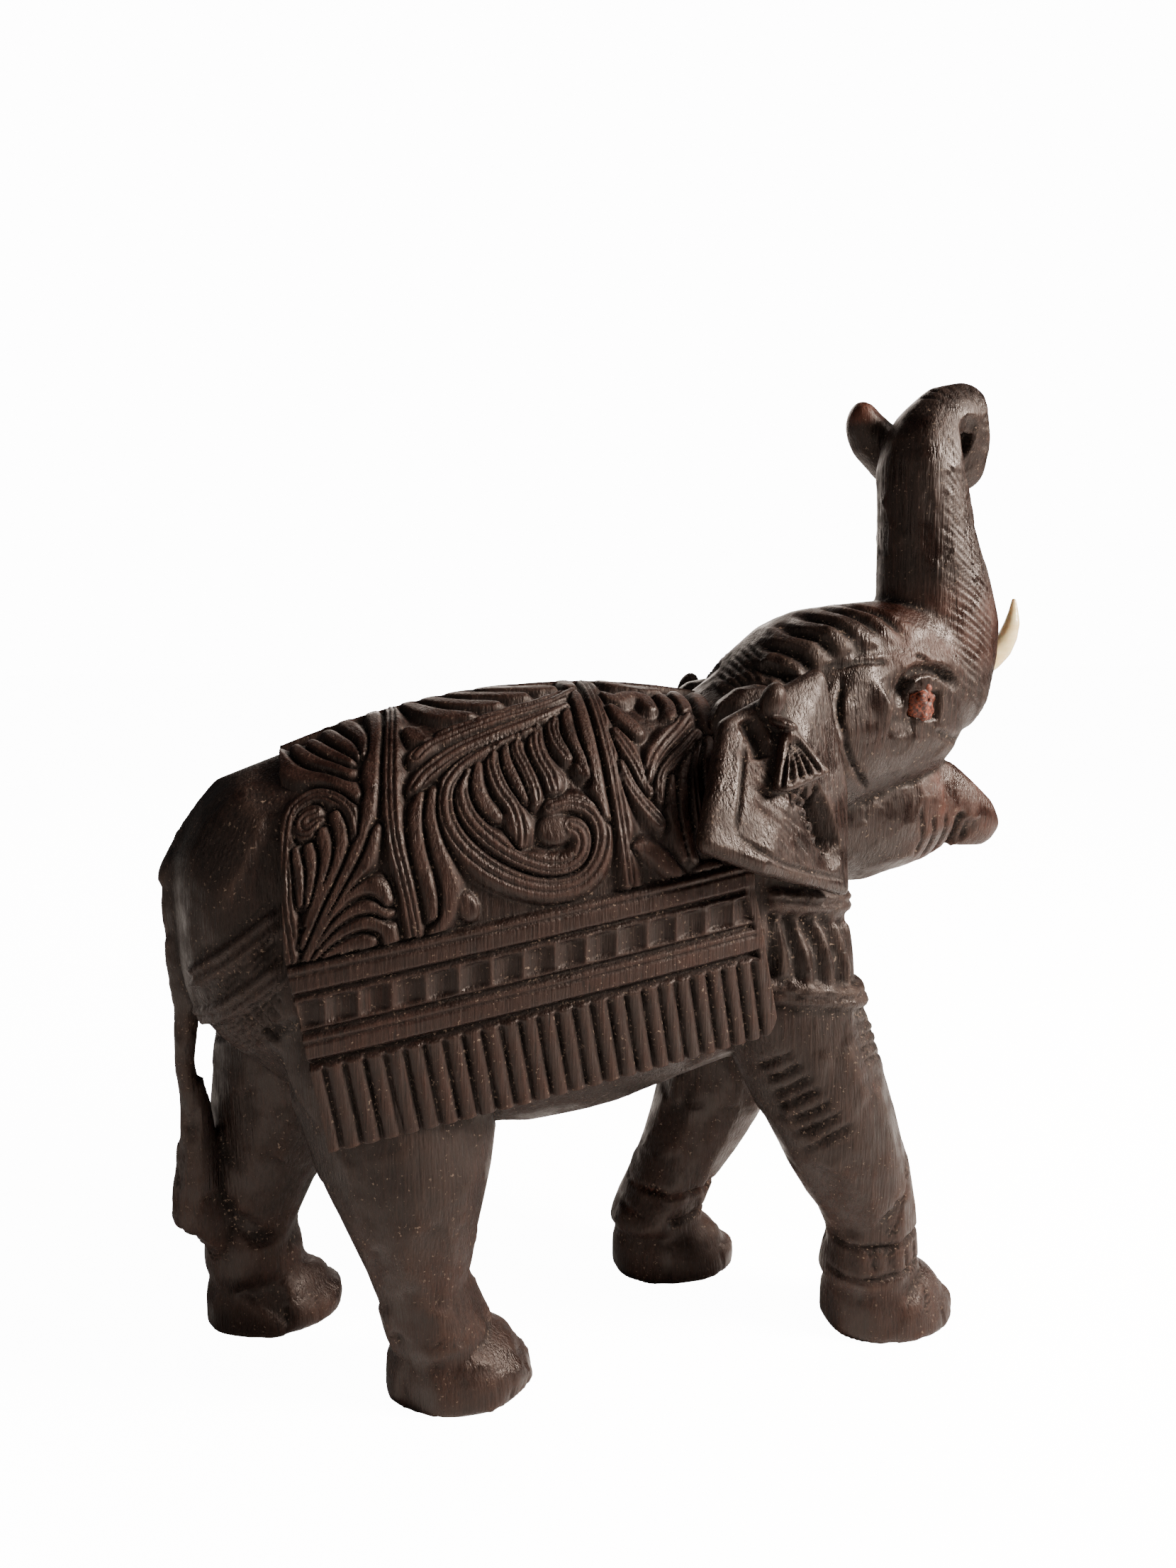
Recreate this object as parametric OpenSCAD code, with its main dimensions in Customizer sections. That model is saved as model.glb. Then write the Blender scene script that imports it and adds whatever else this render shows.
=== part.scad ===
// Carved wooden elephant: a trunk-up figure cut from one block of dark-stained hardwood, with glued-in tusks.
// +X is the way the elephant walks, +Y its left side, +Z up; the origin is on the floor under the middle of it.

/* [Body] */
// Height of the top of the back above the floor
back_h = 103; // [90:1:124]
// Height of the belly above the floor
belly_h = 36; // [30:1:43]
// Length of the body from the rump to the chest
body_l = 100; // [83:1:120]
// Width of the body under the saddle cloth
body_w = 44; // [37:1:53]
// Thickness of the saddle cloth over the flanks
cloth_t = 1.6; // [1.2:0.1:2.4]
// Height of the cloth's hem above the floor at its rear corner
hem_z = 43; // [38:1:50]
// Depth of the cloth's bead band
band_h = 7; // [5:0.5:9]
// Depth of the cloth's fringe
fringe_h = 13; // [10:1:16]
// Spacing of the fringe's gouged flutes
flute_pitch = 2.7; // [2.2:0.1:3.5]
// Width of a gouged flute across its flats
flute_w = 1.5; // [1:0.1:1.8]

/* [Legs] */
// Distance between the left and right feet, centre to centre
leg_gauge = 26; // [22:1:32]
// Distance that one leg of a pair is ahead of the other
stride = 27; // [22:1:33]
// Length of a foot
foot_l = 21; // [17:1:25]
// Width of a foot
foot_w = 16; // [13:1:19]
// Thickness of a leg at the ankle
ankle_d = 14; // [11:1:17]
// Height of an anklet's lower edge above the floor
anklet_z = 11; // [9:1:14]

/* [Head] */
// Width of the head between the temples
head_w = 30; // [25:1:36]
// Height of the crown of the head above the top of the back
crown_rise = 12; // [10:1:15]
// Reach of the pointed lower lip in front of the throat
lip_reach = 17; // [14:1:20]
// Thickness of an ear flap
ear_t = 3.4; // [2.8:0.1:4.2]
// Distance from the head's side to the ear's outer corner
ear_flare = 12; // [10:1:15]
// Drop from an ear's top to its pointed lobe
ear_drop = 29; // [24:1:35]

/* [Trunk] */
// Height of the top of the trunk above the floor
trunk_top_h = 150; // [142:1:180]
// Thickness of the trunk at its root, front to back
trunk_root_d = 20.5; // [17:0.5:25]
// Thickness of the trunk below its curl
trunk_neck_d = 14; // [12:0.5:17]
// Thickness of the curled end of the trunk
trunk_end_d = 9.6; // [8:0.2:11.6]

/* [Tail] */
// Thickness of the tail
tail_d = 4.6; // [3.8:0.2:5.6]
// Height of the tail's tip above the floor
tail_tip_h = 11; // [9:1:14]

/* [Tusks] */
// Length of a tusk outside the head
tusk_l = 38; // [31:1:46]
// Thickness of a tusk at its root
tusk_d = 3.6; // [3:0.1:4.3]
// Diameter of the wire pin that holds a tusk
pin_d = 1.1; // [0.9:0.1:1.3]
// Length of the pin in the head, behind the seat
pin_hold = 5; // [4:0.5:6]
// Length of the pin in the tusk
pin_grip = 4; // [3:0.5:5]
// Thickness of the filler round a tusk's root
bed_t = 0.6; // [0.4:0.1:0.9]
// Depth of a tusk's seat in the head
seat_depth = 3; // [2.4:0.2:3.6]
// Depth at which the filler starts in the empty seat
empty_depth = 0.6; // [0.4:0.1:1]

/* [Hidden] */

LEFT = 1;
RIGHT = -1;

wood = "#3a2a24";
ivory = "#e6d7a6";
steel = "#8f8f8b";
filler = "#a4603c";

// Places along the walk
body_x = -18;
rump_x = body_x - body_l / 2;
chest_x = body_x + body_l / 2;
hip_x = rump_x + 23;
shoulder_x = chest_x - 9;
cloth_rear_x = rump_x + 13;
cloth_front_x = chest_x - 20;
cloth_l = cloth_front_x - cloth_rear_x;

// The cloth curves over the back for this far down, then hangs straight; its edges fall towards the rear
drape_h = 33;
hem_rise = 12;
cloth_w = body_w + 2 * cloth_t;
rail_t = 0.8;
rail_h = 2.2;
rail_short = 0.7;
strap_t = 0.9;
strap_h = 2.6;

// The head hangs from the top of the chest
head_x = chest_x - 4;
head_z = back_h - 5;
crown_z = back_h + crown_rise;
trunk_x = head_x + 21.5;
trunk_rise = trunk_top_h - crown_z;
jaw_z = head_z - 20;
lip_x = head_x + 17 + lip_reach;

// A tusk's seat in the cheek, and the line of the tusk as shares of its length
seat_x = head_x + 14.3;
seat_y = 9.6;
seat_z = head_z + 1.8;
seat_turn = 50;
seat_d = tusk_d + 2 * bed_t;
bed_depth = seat_depth - bed_t;
tusk_line = [
    [0, 0, 0, 1],
    [0.11, 0.09, -0.01, 1],
    [0.24, 0.145, -0.005, 0.97],
    [0.38, 0.165, 0.025, 0.92],
    [0.51, 0.165, 0.085, 0.84],
    [0.62, 0.16, 0.165, 0.72],
    [0.71, 0.155, 0.27, 0.55],
    [0.785, 0.15, 0.415, 0.2]
];

// A cylinder whose flat sides clear a true round one of the same size
module clear_bore(d, h, fn = 24) {
    cylinder(d = d / cos(180 / fn), h = h, $fn = fn);
}

// A soft lump of half-sizes r at p
module lump(p, r, fn = 16) {
    translate(p) scale(r) sphere(r = 1, $fn = fn);
}

// A limb that runs through stations of [place, half-sizes]
module limb(stations, fn = 14) {
    for (i = [0 : len(stations) - 2])
        hull() {
            lump(stations[i][0], stations[i][1], fn);
            lump(stations[i + 1][0], stations[i + 1][1], fn);
        }
}

// One station of the barrel: an oval between two heights, flatter at the flanks, grown all round by out
module barrel_section(x, bottom, top, half_w, half_l, out = 0) {
    half_h = (top - bottom) / 2;
    lump([x, 0, bottom + half_h * 0.8], [half_l + out, half_w + out, half_h * 0.8 + out], 22);
    lump([x, 0, top - half_h * 0.8], [half_l + out, half_w * 0.92 + out, half_h * 0.8 + out], 22);
}

module barrel(out = 0) {
    back = back_h - cloth_t;
    sections = [
        [rump_x + 12, belly_h + 13, back - 9, body_w * 0.4, 13.5],
        [rump_x + 27, belly_h + 3, back - 4, body_w * 0.47, 17],
        [body_x - 2, belly_h, back, body_w * 0.5, 20],
        [chest_x - 22, belly_h + 7, back - 2, body_w * 0.47, 18],
        [chest_x - 13, belly_h + 12, back - 14, body_w * 0.41, 13]
    ];
    for (i = [0 : len(sections) - 2])
        hull()
            for (s = [sections[i], sections[i + 1]])
                barrel_section(s[0], s[1], s[2], s[3], s[4], out);
}

// The top of a front leg, where it spreads over the chest
module shoulder(side, out = 0) {
    lump(
        [shoulder_x - 3.5, side * leg_gauge * 0.35, belly_h + 23],
        [11.5 + out, body_w * 0.25 + out, 15 + out], 20
    );
}

// The saddle cloth's outer form, before its edges are cut
module cloth_form(out = 0) {
    sections = [
        [cloth_rear_x - 6, back_h - 11.5, cloth_w * 0.43],
        [cloth_rear_x + 13, back_h - 4, cloth_w * 0.485],
        [body_x - 2, back_h, cloth_w * 0.5],
        [cloth_front_x - 14, back_h, cloth_w * 0.485],
        [cloth_front_x + 6, back_h - 4, cloth_w * 0.44]
    ];
    for (i = [0 : len(sections) - 2])
        hull()
            for (s = [sections[i], sections[i + 1]]) {
                translate([s[0], 0, s[1] - drape_h + out])
                    rotate([0, 90, 0])
                        scale([drape_h, s[2] + out, 1]) cylinder(r = 1, h = 0.1, $fn = 40);
                translate([s[0], -s[2] * 0.985 - out, hem_z - 4])
                    cube([0.1, s[2] * 1.97 + 2 * out, 20]);
            }
}

// The cloth's side outline between two heights above its hem line, cut short at both ends
module hem_strip(low, high, short = 0) {
    rotate([90, 0, 0])
        linear_extrude(height = 2 * cloth_w, center = true)
            translate([cloth_rear_x, hem_z])
                polygon([
                    [3.5 + short - low * 0.06, low],
                    [cloth_l + 5 - short - low * 0.08, low + hem_rise],
                    [cloth_l + 5 - short - high * 0.08, high + hem_rise],
                    [3.5 + short - high * 0.06, high]
                ]);
}

module cloth() {
    intersection() {
        cloth_form();
        hem_strip(0, back_h - hem_z);
    }
    for (low = [fringe_h + 1.5, fringe_h + band_h + 3])
        intersection() {
            cloth_form(rail_t);
            hem_strip(low, low + rail_h, rail_short);
        }
}

// V gouges that cut the fringe into flutes
module fringe_flutes() {
    count = floor(cloth_l / flute_pitch);
    for (side = [LEFT, RIGHT])
        for (i = [1 : count])
            translate([
                cloth_rear_x + 2 + i * flute_pitch,
                side * (cloth_w / 2 + 0.1 - 1.3 * pow(abs(2 * i / count - 1), 2)),
                hem_z + (fringe_h - 1) / 2 + i * hem_rise / count
            ])
                rotate([0, -4, 0])
                    rotate([0, 0, 45])
                        cube([flute_w, flute_w, fringe_h], center = true);
}

// The strap round the rump, with two raised edges
module crupper() {
    for (drop = [0, 5.5])
        intersection() {
            barrel(strap_t);
            translate([rump_x + 4, 0, back_h - 37 - drop])
                rotate([0, -38, 0])
                    cube([40, 2 * body_w, strap_h], center = true);
        }
}

// The strap across the chest, with two raised edges
module collar() {
    for (drop = [0, 12])
        intersection() {
            union() {
                barrel(strap_t);
                shoulder(LEFT, strap_t);
                shoulder(RIGHT, strap_t);
            }
            translate([chest_x + 2, 0, back_h - 35 - drop])
                rotate([0, 10, 0])
                    cube([40, 2 * body_w, strap_h], center = true);
        }
}

// A foot's flat sole and its bulging toe, with x at the middle of the sole
module foot(x, y) {
    hull() {
        translate([x, y, 0]) scale([foot_l / 2, foot_w / 2, 1]) cylinder(r = 0.97, h = 1, $fn = 26);
        translate([x, y, 3.4]) scale([foot_l / 2, foot_w / 2, 1]) cylinder(r = 1, h = 1, $fn = 26);
        lump([x - foot_l * 0.16, y, anklet_z - 1], [ankle_d * 0.55, ankle_d * 0.52, 3]);
    }
}

// A leg from its place on the body, through the ankle, to the sole
module leg(top, knee, ankle, sole_x, y) {
    limb([
        top,
        knee,
        [[ankle, y, anklet_z + 8], [ankle_d * 0.51, ankle_d * 0.48, 6]],
        [[sole_x - foot_l * 0.16, y, anklet_z - 1], [ankle_d * 0.55, ankle_d * 0.52, 4]]
    ]);
    foot(sole_x, y);
}

module anklet(x, y) {
    translate([x, y, anklet_z])
        rotate([0, 7, 0]) scale([1, 0.93, 1]) cylinder(d = ankle_d * 1.13, h = 5, $fn = 22);
}

module legs() {
    half = leg_gauge / 2;
    near_hind = hip_x + stride / 2;
    far_hind = hip_x - stride / 2;
    near_fore = shoulder_x + stride / 2;
    far_fore = shoulder_x - stride / 2;
    leg(
        [[hip_x + 4, -half * 0.78, belly_h + 17], [15, body_w * 0.25, 15]],
        [[hip_x + 6.5, -half, belly_h - 1], [12, 9.6, 9]],
        near_hind - 5.6, near_hind, -half
    );
    leg(
        [[hip_x - 5, half * 0.78, belly_h + 17], [15, body_w * 0.25, 15]],
        [[hip_x - 11.5, half, belly_h - 1], [11, 9.6, 9]],
        far_hind - 2.5, far_hind, half
    );
    leg(
        [[shoulder_x - 2, -half * 0.75, belly_h + 17], [11, body_w * 0.23, 12]],
        [[shoulder_x + 5.5, -half * 0.94, belly_h - 3], [9.6, 8.8, 8]],
        near_fore - 2, near_fore + 1.5, -half * 0.92
    );
    leg(
        [[shoulder_x - 3, half * 0.75, belly_h + 17], [11, body_w * 0.23, 12]],
        [[shoulder_x - 6, half * 0.94, belly_h - 3], [9.8, 8.8, 8]],
        far_fore + 0.4, far_fore, half * 0.92
    );
    shoulder(LEFT);
    shoulder(RIGHT);
    anklet(near_fore - 1, -half * 0.92);
    anklet(far_fore, half * 0.92);
}

// The tail: a ridge on the rump, a free strand and a tuft that lies on the far leg
module tail() {
    r = tail_d / 2;
    x = rump_x - 1.2;
    limb([
        [[rump_x + 6, 0, back_h - 15], [r, r, r]],
        [[rump_x + 1, 0, back_h - 22], [r * 1.2, r * 1.2, r]],
        [[x - 1, 0.5, back_h - 31], [r, r, r]],
        [[x, 2, belly_h + 20], [r * 0.8, r * 0.8, r]],
        [[x - 0.6, 3.5, belly_h + 11], [r * 0.75, r * 0.75, r]],
        [[x + 0.2, 5.5, belly_h + 3], [r * 0.9, r, r]],
        [[x, 7, belly_h - 8], [r * 1.4, r * 1.4, 4]],
        [[x - 0.4, 8, tail_tip_h + 11], [r * 1.7, r * 1.6, 4]],
        [[x + 3.8, 9.5, tail_tip_h + 2.4], [r * 1.2, r * 0.9, 2.4]]
    ], 14);
}

module head() {
    limb([
        [[chest_x - 19, 0, head_z - 10], [13, head_w * 0.56, 14]],
        [[head_x - 6, 0, head_z - 5], [14, head_w * 0.5, 15]],
        [[head_x + 1, 0, head_z - 2], [14, head_w * 0.5, 15]],
        [[head_x + 12, 0, head_z + 1], [14, head_w * 0.4, 14]]
    ], 20);
    // The crown, sloping down to the neck
    limb([
        [[head_x - 12, 0, crown_z - 14], [7, head_w * 0.38, 7]],
        [[head_x - 3, 0, crown_z - 7], [9, head_w * 0.38, 6]],
        [[head_x + 5, 0, crown_z - 6], [9, head_w * 0.37, 6]],
        [[trunk_x - 4, 0, crown_z - 7], [8, 9.5, 8]]
    ]);
    // The cheek bulge over the tusk's root
    for (side = [LEFT, RIGHT])
        limb([
            [[head_x + 4, side * (head_w * 0.3), head_z + 1], [11, 5, 9]],
            [[seat_x + 1, side * 6.5, seat_z + 4], [8, 4.5, 8]]
        ]);
}

// The lower jaw, down to the pointed lip
module jaw() {
    limb([
        [[head_x - 4, 0, jaw_z + 4], [12, 9.5, 11]],
        [[head_x + 9, 0, jaw_z + 3], [9, 8, 10.5]],
        [[head_x + 17, 0, jaw_z + 4.5], [8.6, 6.6, 9.4]],
        [[lip_x - 12, 0, jaw_z + 4.5], [6, 5, 7.2]],
        [[lip_x - 4, 0, jaw_z + 1.5], [3, 3.4, 4.4]],
        [[lip_x - 1.6, 0, jaw_z + 0.2], [1.4, 2, 1.4]]
    ]);
}

// The trunk, up from the forehead and curled over on the left side
module trunk() {
    root = trunk_root_d / 2;
    neck = trunk_neck_d / 2;
    end = trunk_end_d / 2;
    top = trunk_top_h - end;
    x = trunk_x - 3.6;
    limb([
        [[trunk_x - 1, 0, head_z + 4], [root * 0.95, 9.6, 9]],
        [[trunk_x, 0, crown_z - 3], [root, 8.6, 6]],
        [[x + 0.9, 0, crown_z + trunk_rise * 0.36], [neck * 1.08, neck * 1.04, 4]],
        [[x, 0, crown_z + trunk_rise * 0.62], [neck, neck, 4]],
        [[x + 1.2, 0.4, top - 3.5], [end * 1.25, end * 1.25, 5]],
        [[x + 6.6, 1.6, top], [end * 1.06, end, end]],
        [[x + 9.2, 4.4, top - 6.4], [end * 0.9, end * 0.9, end]],
        [[x + 4, 8.4, top - 9], [end * 0.9, end * 0.9, end * 0.9]],
        [[x - 3.6, 9.6, top - 4.6], [end * 0.8, end * 0.8, end * 0.8]],
        [[x - 6, 9.2, top - 1.4], [end * 0.5, end * 0.6, end * 0.5]]
    ]);
}

// An ear flap: a chiselled panel hinged at the temple and flared at its rear
module ear(side) {
    r = ear_t / 2;
    root_y = side * (head_w / 2 - 1);
    edge_y = side * (head_w / 2 + ear_flare);
    top_z = head_z + 4;
    hull() {
        lump([head_x - 6, root_y, top_z + 2], [r, r, r], 12);
        lump([head_x - 18, root_y + side * 3.4, top_z], [r, r, r], 12);
        lump([head_x - 22.6, edge_y, top_z - 19], [r, r, r], 12);
        lump([head_x - 18, edge_y, top_z - 22.4], [r, r, r], 12);
        lump([head_x - 3, root_y + side * 2, top_z - 14], [r, r, r], 12);
    }
    hull() {
        lump([head_x - 22.6, edge_y, top_z - 19], [r, r, r], 12);
        lump([head_x - 18, edge_y, top_z - 22.4], [r, r, r], 12);
        lump([head_x - 3, root_y + side * 2, top_z - 14], [r, r, r], 12);
        lump([head_x - 3.4, root_y + side * 5, top_z - ear_drop], [r * 0.7, r, r * 0.7], 12);
    }
    // The wood left behind the flap
    hull() {
        lump([head_x - 14, side * (head_w / 2 - 4), top_z - 6], [8, 4, 7]);
        lump([head_x - 9, side * (head_w / 2 - 2), top_z - 20], [8, 5, 6]);
    }
    // A tassel that hangs in front of the ear
    hull() {
        lump([head_x - 7.4, side * (head_w / 2 + 2.4), top_z - 1], [1.6, 1.6, 2.4], 12);
        lump([head_x - 6.6, side * (head_w / 2 + 2.8), top_z - 9], [3.2, 2.2, 2.6], 12);
    }
}

// The seat in the cheek: out along the tusk's root is +Z, and the cheek is at 0
module at_seat(side) {
    translate([seat_x, side * seat_y, seat_z])
        rotate([0, 90, side * seat_turn])
            children();
}

module seat_cut(side) {
    at_seat(side) {
        translate([0, 0, -seat_depth]) clear_bore(seat_d, seat_depth + 0.4);
        clear_bore(seat_d + 2.4, 8);
        translate([0, 0, -seat_depth - pin_hold]) clear_bore(pin_d, pin_hold + 1);
    }
}

module carved_body() {
    color(wood)
        difference() {
            union() {
                barrel();
                cloth();
                crupper();
                collar();
                legs();
                tail();
                head();
                jaw();
                trunk();
                ear(LEFT);
                ear(RIGHT);
            }
            fringe_flutes();
            seat_cut(LEFT);
            seat_cut(RIGHT);
        }
}

module left_tusk() {
    color(ivory)
        difference() {
            union() {
                for (i = [0 : len(tusk_line) - 2])
                    hull()
                        for (s = [tusk_line[i], tusk_line[i + 1]])
                            translate([seat_x + s[0] * tusk_l, seat_y + s[1] * tusk_l, seat_z + s[2] * tusk_l])
                                sphere(d = tusk_d * s[3], $fn = 16);
                at_seat(LEFT)
                    translate([0, 0, -bed_depth]) cylinder(d = tusk_d, h = bed_depth + 1, $fn = 48);
            }
            at_seat(LEFT)
                translate([0, 0, -seat_depth]) cylinder(d = pin_d, h = bed_t + pin_grip, $fn = 32);
        }
}

module left_tusk_pin() {
    color(steel)
        at_seat(LEFT)
            translate([0, 0, -seat_depth - pin_hold])
                cylinder(d = pin_d, h = pin_hold + bed_t + pin_grip, $fn = 32);
}

module left_socket_filler() {
    color(filler)
        at_seat(LEFT)
            difference() {
                translate([0, 0, -seat_depth]) cylinder(d = seat_d, h = seat_depth, $fn = 48);
                translate([0, 0, -bed_depth]) cylinder(d = tusk_d, h = bed_depth + 1, $fn = 48);
                translate([0, 0, -seat_depth - 1]) cylinder(d = pin_d, h = seat_depth, $fn = 32);
            }
}

module right_socket_filler() {
    color(filler)
        at_seat(RIGHT)
            difference() {
                translate([0, 0, -seat_depth])
                    cylinder(d = seat_d, h = seat_depth - empty_depth, $fn = 48);
                translate([0, 0, -seat_depth - 1]) cylinder(d = pin_d, h = seat_depth + 1, $fn = 32);
            }
}

carved_body();
left_tusk();
left_tusk_pin();
left_socket_filler();
right_socket_filler();
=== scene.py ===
import math

import bmesh
import bpy
import numpy as np
from mathutils import Euler, Matrix, Vector
from mathutils.kdtree import KDTree


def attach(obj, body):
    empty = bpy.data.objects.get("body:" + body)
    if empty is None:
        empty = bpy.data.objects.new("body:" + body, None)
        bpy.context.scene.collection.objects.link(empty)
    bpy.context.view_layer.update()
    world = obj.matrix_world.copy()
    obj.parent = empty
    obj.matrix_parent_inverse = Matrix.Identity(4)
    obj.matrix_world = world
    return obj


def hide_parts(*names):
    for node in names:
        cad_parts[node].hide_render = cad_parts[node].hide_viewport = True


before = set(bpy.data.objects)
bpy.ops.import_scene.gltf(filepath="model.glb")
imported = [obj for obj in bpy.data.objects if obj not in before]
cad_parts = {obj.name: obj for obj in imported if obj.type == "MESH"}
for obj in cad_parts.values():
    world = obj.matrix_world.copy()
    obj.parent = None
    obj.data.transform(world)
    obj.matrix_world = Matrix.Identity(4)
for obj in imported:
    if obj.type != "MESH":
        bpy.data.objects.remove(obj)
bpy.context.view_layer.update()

bl_info = {
    "name": "Carved wooden elephant",
    "version": (1, 0, 0),
    "blender": (4, 5, 0),
    "location": "3D View > Sidebar > Elephant",
    "description": "A trunk-up elephant carved from dark-stained hardwood, with a carved saddle cloth",
    "category": "Object",
}

MM = 0.001
RIGHT, LEFT = -1, 1


# ---------------------------------------------------------------- paths and profiles
def smooth_path(points, step=0.4):
    """Points along a smooth curve through the given ones, in mm, of any dimension."""
    p = np.array(points, float)
    if len(p) == 2:
        n = max(int(np.linalg.norm(p[1] - p[0]) / step), 1)
        t = np.linspace(0, 1, n + 1)[:, None]
        return p[0] * (1 - t) + p[1] * t
    q = np.vstack([2 * p[0] - p[1], p, 2 * p[-1] - p[-2]])
    out = []
    for a, b, c, d in zip(q[:-3], q[1:-2], q[2:-1], q[3:]):
        n = max(int(np.linalg.norm(c - b) / step), 2)
        t = np.linspace(0, 1, n, endpoint=False)[:, None]
        out.append(0.5 * (
            2 * b + (c - a) * t + (2 * a - 5 * b + 4 * c - d) * t**2 + (3 * b - a - 3 * c + d) * t**3
        ))
    return np.vstack([*out, p[-1:]])


def near(co, path):
    """Each point's distance to a path, and the share of the path at its nearest place."""
    best, share = np.full(len(co), 1e9), np.zeros(len(co))
    for i, (a, b) in enumerate(zip(path[:-1], path[1:])):
        d = b - a
        t = np.clip((co - a) @ d / max(d @ d, 1e-9), 0, 1)
        r = np.linalg.norm(co - a - t[:, None] * d, axis=1)
        closer = r < best
        best[closer], share[closer] = r[closer], ((i + t) / (len(path) - 1))[closer]
    return best, share


def ease(x, low, high):
    t = np.clip((x - low) / (high - low), 0, 1)
    return t * t * (3 - 2 * t)


# ---------------------------------------------------------------- building with lumps
def lump(bm, place, half, turn=(0, 0, 0), fine=24):
    got = bmesh.ops.create_uvsphere(bm, u_segments=fine, v_segments=fine // 2 + 2, radius=1)
    at = Matrix.LocRotScale(Vector(place), Euler([math.radians(a) for a in turn]), Vector(half))
    bmesh.ops.transform(bm, matrix=at, verts=got["verts"])
    return got["verts"]


def limb(bm, stations, step=6.0):
    """A limb along a smooth line through stations of [place, half-sizes]."""
    rows = smooth_path([[*place, *half] for place, half in stations], step)
    rows[:, 3:] = np.maximum(rows[:, 3:], 0.5)
    for one, two in zip(rows[:-1], rows[1:]):
        hull_of(bm, [(one[:3], one[3:]), (two[:3], two[3:])], fine=20)


def hull_of(bm, lumps, fine=10):
    """A crisp chiselled block: the convex hull of a few lumps."""
    part = bmesh.new()
    for place, half in lumps:
        lump(part, place, half, fine=fine)
    got = bmesh.ops.convex_hull(part, input=part.verts)
    inside = [g for g in got["geom_interior"] if isinstance(g, bmesh.types.BMVert)]
    bmesh.ops.delete(part, geom=inside, context="VERTS")
    mesh = bpy.data.meshes.new("block")
    part.to_mesh(mesh)
    part.free()
    bm.from_mesh(mesh)
    bpy.data.meshes.remove(mesh)


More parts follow.
